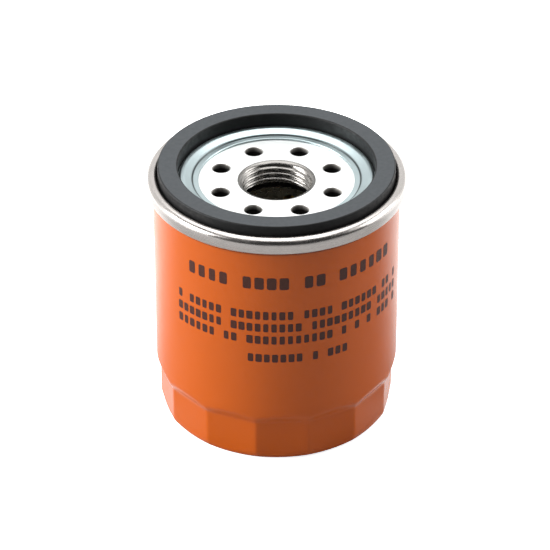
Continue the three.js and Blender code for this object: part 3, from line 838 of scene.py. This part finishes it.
class BuildCan(bpy.types.Operator):
    """Builds the drawn can with its wrench flats"""

    bl_idname = "oilfilter.build_can"
    bl_label = "Can"

    def execute(self, context):
        settings = context.scene.oil_filter.can
        seam = context.scene.oil_filter.seam
        steps_per_flat = 28
        recess_bend = 0.8 * MM
        collar_bend = 0.15 * MM
        hook_bend = seam.shoulder - 0.65 * MM
        ledge_row = 0.12 * MM
        ledge_start = settings.flat_height - 2.5 * MM
        ledge_end = settings.flat_height + settings.ledge_slope * settings.flat_depth + 1.5 * MM
        half = settings.sheet / 2
        side = settings.radius - half
        hook = settings.radius + 2 * seam.gap + seam.sheet + half
        hook_end = bottom_of("seaming_lid") + seam.sheet + 4 * seam.gap
        flange = top_of("can") - half
        ring_inner = settings.radius - settings.corner - settings.ring_width
        floor = rounded_line([
            (0.0, settings.recess + half),
            (ring_inner - settings.recess, settings.recess + half, recess_bend),
            (ring_inner, half, recess_bend),
            (side, half, settings.corner - half),
            (side, ledge_start),
        ], steps=10)
        ledge = split_line([floor[-1], Vector((side, ledge_end))], ledge_row)
        rim = rounded_line([
            (side, ledge_end), (side, flange, collar_bend), (hook, flange, hook_bend), (hook, hook_end),
        ])
        outline = sheet_outline(floor + ledge[1:] + rim[1:], settings.sheet)
        around = settings.flats * steps_per_flat
        mesh = turned("can_mesh", outline, around, can_press(settings), settings.flat_turn)
        enamel = orange_enamel(tuple(settings.enamel), bottom_of("seaming_lid"))
        add_piece("drawn_can", mesh, enamel, "housing", "orange_enamel", "can")
        return {"FINISHED"}


def print_block(width, height, depth):
    """One rounded block of ink, standing upright and facing -Y."""
    corner = 0.22 * min(width, height)
    corner_steps = 3
    half = Vector((width / 2, height / 2))
    points = []
    for index, (side_x, side_y) in enumerate(((1, 1), (-1, 1), (-1, -1), (1, -1))):
        centre = Vector((side_x * (half.x - corner), side_y * (half.y - corner)))
        for step in range(corner_steps + 1):
            angle = math.pi / 2 * (index + step / corner_steps)
            points.append(centre + corner * Vector((math.cos(angle), math.sin(angle))))
    mesh = prism("print_block", points, -depth / 2, depth / 2)
    mesh.transform(Matrix.Rotation(math.pi / 2, 4, "X"))
    return mesh


class BuildPrint(bpy.types.Operator):
    """Prints rows of plain blocks on the can's side, where a label's heading and lines would stand"""

    bl_idname = "oilfilter.build_print"
    bl_label = "Printed blocks"

    def execute(self, context):
        settings = context.scene.oil_filter.print
        radius = context.scene.oil_filter.can.radius
        heading_place, first_line, last_line = 57.5 * MM, 47.6 * MM, 34.3 * MM
        line_spacing = 3.8 * MM
        heading_width, line_width = 2.5 * MM, 1.7 * MM
        pitch_over_width = 1.25
        block_depth = 2.5 * settings.thickness
        small = settings.line_height
        ink = printing_ink(tuple(settings.ink))
        tree = printed_row_tree(ink)

        def print_rows(work):
            def print_row(height, tall, wide, start, end, seed):
                """Adds blocks of that size between two angles in degrees."""
                arc = math.radians(end - start) * radius
                row = grown("printed_row", tree, {
                    "Radius": radius, "Height": height, "From": math.radians(start),
                    "To": math.radians(end), "Count": int(arc / (wide * pitch_over_width)), "Seed": seed,
                }, print_block(wide, tall, block_depth))
                work.from_mesh(row)

            print_row(heading_place, settings.heading_height, heading_width, start=-42, end=66, seed=1)
            for line in range(3):
                height = first_line - line * line_spacing
                print_row(height, small, line_width, start=-50, end=74, seed=2 + line)
            print_row(last_line, small, line_width, start=-12, end=37, seed=5)

        mesh = filled("printed_blocks_mesh", print_rows)
        add_piece("printed_blocks", mesh, ink, "housing", "orange_enamel")
        return {"FINISHED"}


# ---- Lid, seam compound and gasket ----


class BuildLid(bpy.types.Operator):
    """Builds the lid that is rolled over the can's rim, and the compound inside the seam"""

    bl_idname = "oilfilter.build_lid"
    bl_label = "Lid and seam"

    def execute(self, context):
        settings = context.scene.oil_filter.seam
        can = context.scene.oil_filter.can
        half = settings.sheet / 2
        floor = top_of("tapping_plate") + half
        bead = floor + settings.bead_height
        gasket_play = 0.27 * MM
        bead_outer = radius_of("gasket") - context.scene.oil_filter.gasket.width - gasket_play
        bead_inner = bead_outer - settings.bead_width
        wall = can.radius - can.sheet - settings.gap - half
        panel = radius_of("seaming_lid") - half
        hook = can.radius + settings.gap + half
        seam_top = top_of("seaming_lid") - half
        seam_bottom = bottom_of("seaming_lid") + half
        corners = [
            (bead_inner - settings.flange_width, floor),
            (bead_inner, floor, 0.2 * MM),
            (bead_inner + 0.12 * settings.bead_width, floor + 0.42 * settings.bead_height, 0.9 * MM),
            (bead_inner + 0.6 * settings.bead_width, bead, 1.6 * MM),
            (bead_outer - half, bead, 0.45 * MM),
            (bead_outer - half, floor, 0.3 * MM),
            (wall, floor, 0.75 * MM),
            (wall, seam_top, 0.5 * MM),
            (panel, seam_top, settings.shoulder),
            (panel, seam_bottom + settings.shoulder, settings.shoulder),
            (panel - settings.taper, seam_bottom, 0.4 * MM),
            (hook, seam_bottom, 0.28 * MM),
            (hook, top_of("seam_compound") - 0.4 * MM),
        ]
        mesh = pressed_ring("lid_mesh", corners, settings.sheet, 288, bend_steps=8, rounded_start=True)
        material = rolled_zinc_steel(tuple(settings.steel), tuple(settings.plating), bead_outer, bead_inner)
        add_piece("rolled_lid", mesh, material, "housing", "lid_steel", "seaming_lid")
        inner = can.radius + settings.gap
        paste = turned("compound_mesh", ring_section("seam_compound", inner, 0.08 * MM, 0.08 * MM, steps=3))
        material = set_paste("seam_compound_paste", linear("#8A8F84"), 0.7)
        add_piece("sealing_compound", paste, material, "housing", "seam_paste", "seam_compound")
        return {"FINISHED"}


class BuildGasket(bpy.types.Operator):
    """Builds the moulded ring gasket"""

    bl_idname = "oilfilter.build_gasket"
    bl_label = "Gasket"

    def execute(self, context):
        settings = context.scene.oil_filter.gasket
        rounding = settings.rounding
        inner = radius_of("gasket") - settings.width
        mesh = turned("gasket_mesh", ring_section("gasket", inner, rounding, rounding, steps=6), 288)
        mesh.materials.append(moulded_rubber("moulded_nitrile", tuple(settings.rubber), 0.55, gloss=0.3))
        # Painted sheen: this lighter copy of the rubber goes on the flat top faces below, the dark one on
        # the rounded edges and sides.
        mesh.materials.append(moulded_rubber("painted_sheen_nitrile", tuple(settings.top_sheen), 0.46, gloss=0.42))
        ground = top_of("gasket") - 0.05 * rounding
        for face in mesh.polygons:
            face.material_index = 1 if face.center.z > ground else 0
        add_piece("ring_gasket", mesh, None, "housing", "gasket_rubber", "gasket")
        return {"FINISHED"}


# ---- Tapping plate ----


def thread_surface(settings, bottom):
    """The radius of the thread at a height and angle: right-handed, with rounded crests and roots."""

    def reach(height, angle):
        turns = (height - bottom) / settings.thread_pitch - (angle - math.pi / 2) / (2 * math.pi)
        return settings.thread_radius - settings.thread_depth * math.sin(math.pi * turns) ** 2

    return reach


class BuildPlate(bpy.types.Operator):
    """Builds the tapping plate with its threaded neck and its ring of inlets"""

    bl_idname = "oilfilter.build_plate"
    bl_label = "Tapping plate"

    def execute(self, context):
        settings = context.scene.oil_filter.plate
        bottom, top = bottom_of("tapping_plate"), top_of("tapping_plate")
        under = top - settings.thickness
        outer = radius_of("tapping_plate")
        bore = settings.thread_radius - settings.thread_depth
        neck = settings.thread_radius + settings.neck_wall
        reach = thread_surface(settings, bottom)
        bore_line = split_line(rounded_line([
            (2 * bore, top), (bore, top, settings.mouth), (bore, bottom + settings.thread_depth, 0.2 * MM),
            (settings.thread_radius, bottom),
        ], steps=10)[1:], settings.thread_pitch / 16)
        outside = rounded_line([
            (neck, bottom, 0.3 * MM), (neck, under, 0.8 * MM), (outer, under, 0.4 * MM),
            (outer, top, 0.4 * MM),
            (bore + settings.mouth + 0.5 * MM, top),
        ], steps=5)

        def press(radius, height, angle):
            in_bore = radius < settings.thread_radius and bottom < height < top
            return (max(radius, reach(height, angle)) if in_bore else radius), height

        blank = turned("plate_blank", bore_line + outside, press=press)
        rim = settings.inlet_rim
        mouth = settings.inlet_radius + 2 * rim
        hole = turned("inlet_tool", rounded_line([
            (0.0, under - MM), (settings.inlet_radius, under - MM), (settings.inlet_radius, top, rim),
            (mouth, top), (mouth, top + MM), (0.0, top + MM),
        ], steps=6), 48)
        first = math.pi / settings.inlets
        across, along = settings.inlet_circle * math.cos(first), settings.inlet_circle * math.sin(first)
        hole.transform(Matrix.Translation((across, along, 0.0)))
        zinc = zinc_plate(tuple(settings.zinc))
        copies = ring_of_copies_tree(zinc)
        tools = grown("inlet_tools", copies, {"Count": settings.inlets, "Weld": 0.0}, hole)
        mesh = shaded(combined("plate_mesh", blank, tools, "DIFFERENCE"), 30)
        mesh.materials.clear()
        for material in (zinc, cut_thread(settings.thread_radius), punched_wall(top)):
            mesh.materials.append(material)
        mouth_edge = top - 0.01 * settings.mouth
        hole_floor, hole_top = under + 0.01 * MM, top - 0.3 * rim
        for face in mesh.polygons:
            height = face.center.z
            out = face.center.xy.length
            if out < bore + settings.mouth and height < mouth_edge:
                face.material_index = 1
            elif out < outer - MM and hole_floor < height < hole_top:
                face.material_index = 2
        add_piece("tapped_plate", mesh, None, "housing", "plate_zinc", "tapping_plate")
        return {"FINISHED"}


# ---- Anti-drainback valve ----


class BuildDrainbackValve(bpy.types.Operator):
    """Builds the rubber valve under the inlets"""

    bl_idname = "oilfilter.build_drainback_valve"
    bl_label = "Anti-drainback valve"

    def execute(self, context):
        plate = context.scene.oil_filter.plate
        bottom, top = bottom_of("anti_drainback_valve"), top_of("anti_drainback_valve")
        cap = top_of("upper_end_cap")
        neck = plate.thread_radius + plate.neck_wall
        hub = neck + 1.4 * MM
        skirt = hub + 0.9 * MM
        foot, foot_top = hub + 3.2 * MM, cap + 0.9 * MM
        root = top - 2.4 * MM
        lip = radius_of("anti_drainback_valve")
        edge = 0.5 * MM
        land_inner = lip - 1.1 * MM
        outline = rounded_line([
            (neck, bottom, 0.2 * MM), (hub, bottom, 0.2 * MM), (hub, cap), (foot, cap, 0.3 * MM),
            (foot, foot_top, 0.3 * MM), (skirt, foot_top, 0.3 * MM), (skirt, root - MM, 0.4 * MM),
            (lip - MM, top - MM, 0.8 * MM), (lip, top - edge, 0.25 * MM), (lip - edge, top, 0.2 * MM),
            (land_inner, top, 0.2 * MM), (land_inner - edge, top - edge, 0.2 * MM),
            (hub + edge, root, 0.3 * MM), (hub, root + edge, 0.1 * MM), (hub, top),
            (neck + MM, top), (neck, top - MM),
        ], steps=4)
        rubber = moulded_rubber("oily_nitrile_valve", linear("#1B1C1E"), 0.32, coat=0.6)
        mesh = turned("valve_mesh", outline)
        piece = add_piece("drainback_flap", mesh, rubber, "housing", "valve_rubber", "anti_drainback_valve")
        squash_upright(piece)
        return {"FINISHED"}


# ---- Element ----


class BuildElementCaps(bpy.types.Operator):
    """Builds the element's two pressed caps and the plastisol that bonds the paper into them"""

    bl_idname = "oilfilter.build_element_caps"
    bl_label = "Element caps"

    def execute(self, context):
        sheet = context.scene.oil_filter.element.sheet
        half = sheet / 2
        plate = context.scene.oil_filter.plate
        collar = plate.thread_radius + plate.neck_wall + 1.6 * MM + half
        dish_start, dish_end, dish_depth = collar + 2.6 * MM, collar + 3.6 * MM, 0.2 * half
        valve_hole = 11.2 * MM
        paste_inner = 14.8 * MM
        outer = radius_of("upper_end_cap") - half
        material = tinplate()
        low, top = bottom_of("upper_end_cap"), top_of("upper_end_cap") - half
        upper = pressed_ring("upper_cap_mesh", [
            (collar, low), (collar, top, 0.4 * MM), (dish_start, top, 1.0 * MM),
            (dish_end, top - dish_depth, 1.0 * MM), (outer, top, 0.5 * MM), (outer, low),
        ], sheet)
        floor, high = bottom_of("lower_end_cap") + half, top_of("lower_end_cap")
        lower = pressed_ring("lower_cap_mesh", [
            (valve_hole, floor), (outer, floor, 0.5 * MM), (outer, high),
        ], sheet)
        add_piece("upper_cap", upper, material, "element", "cap_steel", "upper_end_cap")
        add_piece("lower_cap", lower, material, "element", "cap_steel", "lower_end_cap")
        paste = set_paste("cast_plastisol", linear("#C9C2A8"), 0.55)
        free_edge, cap_bend, inner_edge = 0.15 * MM, 0.4 * MM, 0.1 * MM
        for node, lower_edge, upper_edge in (
            ("upper_plastisol", free_edge, cap_bend), ("lower_plastisol", cap_bend, free_edge),
        ):
            section = ring_section(node, paste_inner, lower_edge, upper_edge, inner_rounding=inner_edge)
            ring = turned(f"{node}_mesh", section)
            add_piece(f"cast_{node}", ring, paste, "element", "plastisol", node)
        return {"FINISHED"}


class BuildCenterTube(bpy.types.Operator):
    """Builds the perforated tube that the paper rests on"""

    bl_idname = "oilfilter.build_center_tube"
    bl_label = "Centre tube"

    def execute(self, context):
        settings = context.scene.oil_filter.element
        outer = radius_of("center_tube")
        material = tinplate()
        blank = turned("tube_blank", ring_section("center_tube", outer - settings.sheet, 0.0, 0.0), 144)
        paper_low, paper_high = bottom_of("pleated_media"), top_of("pleated_media")
        spacing = (paper_high - paper_low) / settings.hole_rows
        pin_length = 4 * MM
        lying = Matrix.Rotation(math.pi / 2, 4, "Y")
        half_turn = Matrix.Rotation(math.pi / 2 / settings.hole_columns, 4, "Z")

        def column_of_pins(work):
            for row in range(settings.hole_rows):
                place = Matrix.Translation((outer, 0, paper_low + spacing * (row + 0.5)))
                bmesh.ops.create_cone(
                    work, cap_ends=True, segments=28, radius1=settings.hole_radius,
                    radius2=settings.hole_radius, depth=pin_length, matrix=half_turn @ place @ lying,
                )

        pins = filled("perforating_pins", column_of_pins)
        copies = ring_of_copies_tree(material)
        punch = grown("perforating_punch", copies, {"Count": settings.hole_columns, "Weld": 0.0}, pins)
        mesh = shaded(combined("tube_mesh", blank, punch, "DIFFERENCE"), 30)
        add_piece("perforated_tube", mesh, material, "element", "tube_steel", "center_tube")
        return {"FINISHED"}


def beside_ray(angle, out, left):
    """A point so far out along the ray at the angle, and so far to its left."""
    return Matrix.Rotation(angle, 2) @ Vector((out, left))


def mirrored(line):
    return [Vector((point.x, -point.y)) for point in line]


def upright_strips(name, lines, bottom, top, rows=3):
    """Thin upright walls that follow flat lines."""
    heights = [bottom + (top - bottom) * step / rows for step in range(rows + 1)]

    def build(work):
        for line in lines:
            grid = [[work.verts.new((*point, height)) for point in line] for height in heights]
            for below, above in zip(grid, grid[1:]):
                for index in range(len(line) - 1):
                    work.faces.new((below[index], below[index + 1], above[index + 1], above[index]))

    return filled(name, build)


class BuildMedia(bpy.types.Operator):
    """Builds the pleated paper and the clip that joins its two ends"""

    bl_idname = "oilfilter.build_media"
    bl_label = "Pleated paper"

    def execute(self, context):
        settings = context.scene.oil_filter.element
        low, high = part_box("pleated_media")
        tube_clearance, cap_clearance, clip_clearance = 0.4 * MM, 0.3 * MM, 0.1 * MM
        weld = 0.02 * MM
        inner = radius_of("center_tube") + tube_clearance + settings.paper / 2
        outer = radius_of("upper_end_cap") - settings.sheet - cap_clearance - settings.paper / 2
        valley = math.pi / settings.pleats
        ply = settings.fold_gap + settings.paper / 2
        bend_angles = (0, math.pi / 4, math.pi / 2)
        bend = [(ply * (1 - math.cos(angle)), ply * math.sin(angle)) for angle in bend_angles]
        rise = [beside_ray(-valley, inner + out, left) for out, left in bend]
        tip = [beside_ray(0, outer - out, -left) for out, left in reversed(bend)]
        half = rise + tip
        pleat = upright_strips("pleat", [half + mirrored(reversed(half[:-1]))], low.z, high.z)
        clip_back = outer - settings.paper / 2
        end_start = clip_back - settings.clip_length - settings.sheet
        end = clip_back - settings.sheet - clip_clearance
        end_ply = rise + [beside_ray(0, end_start, -ply), beside_ray(0, end, -ply)]
        ends = upright_strips("strip_ends", [end_ply, mirrored(end_ply)], low.z, high.z)
        material = filter_paper(tuple(settings.paper_color))
        walls = grown("pleats", ring_of_copies_tree(material), {
            "Count": settings.pleats, "Left out": 1, "Weld": weld,
        }, pleat)

        def join_ends(work):
            work.from_mesh(walls)
            work.from_mesh(ends)
            close_up(work, weld)

        source = bpy.data.objects.new("strip_source", filled("folded_strip", join_ends))
        context.scene.collection.objects.link(source)
        solid = source.modifiers.new("paper", "SOLIDIFY")
        solid.thickness = settings.paper
        solid.offset = 0.0
        solid.use_even_offset = True
        mesh = shaded(applied("media_mesh", source), 60)
        add_piece("pleated_paper", mesh, material, "element", "filter_paper", "pleated_media")

        low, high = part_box("media_seam_clip")
        side = settings.fold_gap + settings.paper + clip_clearance + settings.sheet / 2
        front = clip_back - settings.clip_length
        back = clip_back - settings.sheet / 2
        clip_bend = 0.5 * MM
        middle = rounded_line([
            (front, -side), (back, -side, clip_bend), (back, side, clip_bend), (front, side),
        ], steps=5)
        clip = prism("clip_mesh", sheet_outline(middle, settings.sheet), low.z, high.z)
        steel = pressed_steel("plain_clip_steel", linear("#A9A7A4"), 0.28, 0.42)
        add_piece("seam_clip", clip, steel, "element", "clip_steel", "media_seam_clip")
        return {"FINISHED"}


# ---- Bypass valve ----


class BuildBypassValve(bpy.types.Operator):
    """Builds the bypass valve: body, seal, poppet, guide pin, spring and cage"""

    bl_idname = "oilfilter.build_bypass_valve"
    bl_label = "Bypass valve"

    def execute(self, context):
        steel = tinplate()
        self.build_seat()
        self.build_poppet(steel)
        self.build_coil()
        self.build_cage(steel)
        return {"FINISHED"}

    def build_seat(self):
        """The body that the cap holds, with the rim that the seal shuts on."""
        low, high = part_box("bypass_valve_body")
        bore, spigot, rim_outer, rim_inner = 7.0 * MM, 11.0 * MM, 8.2 * MM, 7.4 * MM
        rim_foot = rim_outer + 0.4 * MM
        cap = top_of("lower_end_cap") - 2.6 * MM
        flange_top = bottom_of("bypass_spring_retainer")
        body = turned("valve_body_mesh", rounded_line([
            (bore, low.z, 0.3 * MM), (spigot, low.z, 0.3 * MM), (spigot, cap), (high.y, cap, 0.15 * MM),
            (high.y, flange_top, 0.15 * MM), (rim_foot, flange_top, 0.2 * MM),
            (rim_outer, high.z, 0.25 * MM), (rim_inner, high.z, 0.25 * MM),
            (bore, high.z - 0.4 * MM, 0.1 * MM),
        ], steps=4), 128)
        add_piece("valve_seat", body, moulded_nylon(), "element", "valve_nylon", "bypass_valve_body")

    def build_poppet(self, disc_steel):
        """The seal, the disc that backs it and the pin that holds both in line."""
        pin_hole = 1.6 * MM
        section = ring_section("bypass_seal", pin_hole, 0.3 * MM, 0.3 * MM, inner_rounding=0.1 * MM)
        rubber = moulded_rubber("red_seal_rubber", linear("#9C3A26"), 0.5)
        seal = turned("seal_mesh", section, 128)
        add_piece("poppet_seal", seal, rubber, "bypass_poppet", "seal_rubber", "bypass_seal")

        low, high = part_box("bypass_poppet")
        boss_foot, boss = 3.8 * MM, 3.5 * MM
        disc_top = low.z + 0.6 * MM
        poppet = turned("poppet_mesh", rounded_line([
            (pin_hole, low.z), (high.y, low.z, 0.15 * MM), (high.y, disc_top, 0.15 * MM),
            (boss_foot, disc_top, 0.2 * MM), (boss, high.z, 0.3 * MM), (pin_hole, high.z, 0.1 * MM),
        ], steps=4), 128)
        add_piece("poppet_disc", poppet, disc_steel, "bypass_poppet", "poppet_steel", "bypass_poppet")

        low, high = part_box("bypass_guide_pin")
        head_top = low.z + 0.8 * MM
        shank = 1.5 * MM
        pin = turned("pin_mesh", rounded_line([
            (0.0, low.z), (high.y, low.z, 0.35 * MM), (high.y, head_top, 0.1 * MM), (shank, head_top),
            (shank, high.z, 0.6 * MM), (0.0, high.z),
        ], steps=5), 64)
        pin_steel = pressed_steel("turned_pin_steel", linear("#A6A6A9"), 0.2, 0.34)
        add_piece("poppet_pin", pin, pin_steel, "bypass_poppet", "pin_steel", "bypass_guide_pin")

    def build_coil(self):
        """The spring that holds the poppet shut. Its fixed end is the upper one."""
        low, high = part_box("bypass_spring")
        wire, coil_radius, turns = 0.45 * MM, 4.9 * MM, 5.5
        steel = pressed_steel("oiled_spring_steel", linear("#7A7B7E"), 0.25, 0.4)
        coil = grown("coil_mesh", coil_tree(steel), {
            "Coil radius": coil_radius, "Wire radius": wire, "Turns": turns, "Bottom": low.z + wire,
            "Rise": high.z - low.z - 2 * wire,
        })
        spring = add_piece("bypass_coil", coil, steel, "element", "spring_steel", "bypass_spring")
        squash_upright(spring)

    def build_cage(self, steel):
        """The pressed cage over the coil, with windows that the oil leaves through."""
        low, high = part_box("bypass_spring_retainer")
        sheet = 0.5 * MM
        half = sheet / 2
        wall, top_hole = 10.65 * MM, 1.9 * MM
        window_depth, window_width, window_corner = 6 * MM, 10 * MM, 0.8 * MM
        window_height = high.z - low.z - 3.2 * MM
        blank = pressed_ring("cage_blank", [
            (high.y, low.z + half), (wall, low.z + half, 0.5 * MM), (wall, high.z - half, 0.9 * MM),
            (top_hole, high.z - half),
        ], sheet, 144)

        def window(work):
            place = Matrix.Translation((wall, 0, (low.z + high.z) / 2))
            size = Matrix.Diagonal((window_depth, window_width, window_height, 1))
            bmesh.ops.create_cube(work, size=1.0, matrix=place @ size)
            bmesh.ops.bevel(work, geom=work.edges[:], offset=window_corner, segments=3, affect="EDGES")

        tool = filled("window_tool", window)
        windows = grown("window_tools", ring_of_copies_tree(steel), {"Count": 4, "Weld": 0.0}, tool)
        cage = shaded(combined("cage_mesh", blank, windows, "DIFFERENCE"), 30)
        add_piece("spring_cage", cage, steel, "element", "cap_steel", "bypass_spring_retainer")


# ---- Load spring ----


class BuildLoadSpring(bpy.types.Operator):
    """Builds the leaf spring that presses the element up"""

    bl_idname = "oilfilter.build_load_spring"
    bl_label = "Load spring"

    def execute(self, context):
        low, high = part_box("load_spring")
        sheet = 0.6 * MM
        half = sheet / 2
        ring_inner, ring_outer = 11.6 * MM, 15.3 * MM
        leg_root, leg_bend = ring_outer - MM, ring_outer + 1.85 * MM
        leg_width = 7.0 * MM
        foot_start = high.y - 2.4 * MM
        bend = 1.2 * MM
        line = rounded_line([
            (leg_root, high.z - half), (leg_bend, high.z - half, bend),
            (foot_start, low.z + half, bend), (high.y, low.z + half),
        ], steps=6)
        leg = prism("spring_leg", sheet_outline(line, sheet), -leg_width / 2, leg_width / 2)
        leg.transform(Matrix.Rotation(math.pi / 2, 4, "X"))
        steel = pressed_steel("blued_spring_steel", linear("#6F7378"), 0.25, 0.4)
        legs = grown("spring_legs", ring_of_copies_tree(steel), {"Count": 4, "Weld": 0.0}, leg)
        under, edge = high.z - sheet, 0.1 * MM
        ring = turned("spring_ring", rounded_line([
            (ring_inner, under, edge), (ring_outer, under, edge), (ring_outer, high.z, edge),
            (ring_inner, high.z, edge),
        ], steps=2), 128)
        whole = shaded(combined("load_spring_mesh", ring, legs, "UNION"), 30)
        piece = add_piece("leaf_spring", whole, steel, "housing", "spring_steel", "load_spring")
        squash_upright(piece)
        return {"FINISHED"}


# ---- Stage ----


def lit_table(settings):
    """A matt white table, lit from inside, that shines beside and behind the filter and round its foot."""
    color = tuple(settings.floor)
    finish = Finish("matt_floor", color, 0.9)
    finish.vary("Roughness", finish.grain(0.2), 0.85, 0.95)
    ray = add_node(finish.tree, "ShaderNodeLightPath").outputs
    seen = ray["Is Camera Ray"]
    finish.give("Base Color", finish.blend(seen, tuple(settings.floor_bounce), color))
    across = finish.along("Y")
    behind = finish.ramp(across, 40 * MM, 300 * MM)
    table = add_node(finish.tree, "ShaderNodeMath", {
        0: seen, 1: settings.floor_glow, 2: behind,
    }, operation="MULTIPLY_ADD")
    beside = finish.ramp(across, -10 * MM, 60 * MM, 0.0, settings.floor_shine, kind="SMOOTHSTEP")
    foot_shine = 0.7 * settings.floor_shine
    foot = finish.ramp(finish.from_axis(), 36 * MM, 46 * MM, foot_shine, 0.0, kind="SMOOTHSTEP")
    off_front = finish.ramp(across, -26 * MM, -8 * MM)
    sides = add_node(finish.tree, "ShaderNodeMath", {0: foot, 1: off_front}, operation="MULTIPLY")
    shine = add_node(finish.tree, "ShaderNodeMath", {0: beside, 1: sides}, operation="MAXIMUM")
    glow = add_node(finish.tree, "ShaderNodeMath", {
        0: ray["Is Glossy Ray"], 1: shine, 2: table,
    }, operation="MULTIPLY_ADD")
    finish.give("Emission Color", color)
    finish.give("Emission Strength", glow)
    return finish.material


def add_softbox(name, target, azimuth, elevation, size, power, distance=1.2):
    """A square light that faces the target. Its angles are in degrees, azimuth from -Y towards +X."""
    azimuth, elevation = math.radians(azimuth), math.radians(elevation)
    light = bpy.data.lights.new(name, "AREA")
    light.size = size
    light.energy = power
    lamp = bpy.data.objects.new(name, light)
    bpy.context.scene.collection.objects.link(lamp)
    level = distance * math.cos(elevation)
    offset = Vector((level * math.sin(azimuth), -level * math.cos(azimuth), distance * math.sin(elevation)))
    lamp.location = target + offset
    lamp.rotation_euler = (-offset).to_track_quat("-Z", "Y").to_euler()


def new_studio_air(settings):
    """The studio round the table: a white wall behind it, fading to a dim room in front."""
    world = bpy.data.worlds.new("studio_air")
    world.use_nodes = True
    tree = world.node_tree
    tree.nodes.clear()
    facing = add_node(tree, "ShaderNodeTexCoord").outputs["Generated"]
    backward = add_node(tree, "ShaderNodeSeparateXYZ", {0: facing}).outputs["Y"]
    wall = add_node(tree, "ShaderNodeMapRange", {
        "Value": backward, "From Min": -0.1, "From Max": 0.6, "To Min": settings.room_light,
        "To Max": settings.wall_light,
    })
    air = add_node(tree, "ShaderNodeBackground", {"Strength": wall})
    add_node(tree, "ShaderNodeOutputWorld", {"Surface": air})
    return world


class SetStage(bpy.types.Operator):
    """Sets the floor, the lights and the camera"""

    bl_idname = "oilfilter.set_stage"
    bl_label = "Floor, lights and camera"

    def execute(self, context):
        scene = context.scene
        settings = scene.oil_filter.stage
        table_size = 6.0
        seam_height = 69.756 * MM
        camera_turn = math.radians(0.035)
        floor_mesh = filled("floor_mesh", lambda work: bmesh.ops.create_grid(
            work, x_segments=1, y_segments=1, size=table_size
        ))
        floor_mesh.materials.append(lit_table(settings))
        floor = bpy.data.objects.new("studio_floor", floor_mesh)
        scene.collection.objects.link(floor)

        middle = Vector((0.0, 0.0, 40 * MM))
        add_softbox("overhead_softbox", middle, azimuth=180, elevation=80, size=1.3, power=14)
        add_softbox("left_softbox", middle, azimuth=-80, elevation=22, size=0.7, power=20)
        add_softbox("right_softbox", middle, azimuth=100, elevation=26, size=0.8, power=6.5)
        scene.world = new_studio_air(settings)
        scene.view_settings.view_transform = "Standard"

        camera = bpy.data.cameras.new("studio_camera")
        camera.lens = settings.lens
        camera.sensor_width = 36.0
        camera.clip_start, camera.clip_end = 0.05, 20.0
        view = bpy.data.objects.new("studio_camera", camera)
        scene.collection.objects.link(view)
        back = settings.distance * math.cos(settings.elevation)
        up = settings.distance * math.sin(settings.elevation)
        view.location = (0.0, -back, seam_height + up)
        tilt = math.pi / 2 - settings.elevation - settings.aim_drop
        view.rotation_euler = (tilt, 0.0, camera_turn)
        scene.camera = view
        return {"FINISHED"}


# ---- Panel and registration ----


OPERATORS = (
    BuildCan, BuildPrint, BuildLid, BuildGasket, BuildPlate, BuildDrainbackValve, BuildElementCaps,
    BuildCenterTube, BuildMedia, BuildBypassValve, BuildLoadSpring, SetStage,
)


class FilterPanel(bpy.types.Panel):
    """Lists the filter's pieces and their sizes"""

    bl_idname = "VIEW3D_PT_oil_filter"
    bl_label = "Oil filter"
    bl_space_type = "VIEW_3D"
    bl_region_type = "UI"
    bl_category = "Oil filter"

    def draw(self, context):
        for group in SETTING_GROUPS:
            box = self.layout.box()
            box.label(text=group.capitalize())
            settings = getattr(context.scene.oil_filter, group)
            for name in settings.bl_rna.properties.keys():
                if name not in ("rna_type", "name"):
                    box.prop(settings, name)
        for operator in OPERATORS:
            self.layout.operator(operator.bl_idname)


CLASSES = (*SETTING_GROUPS.values(), FilterSettings, *OPERATORS, FilterPanel)


def register():
    for item in CLASSES:
        bpy.utils.register_class(item)
    bpy.types.Scene.oil_filter = PointerProperty(type=FilterSettings)


def unregister():
    del bpy.types.Scene.oil_filter
    for item in reversed(CLASSES):
        bpy.utils.unregister_class(item)


def main():
    register()
    for operator in OPERATORS:
        group, name = operator.bl_idname.split(".")
        getattr(getattr(bpy.ops, group), name)()


if __name__ == "__main__":
    main()
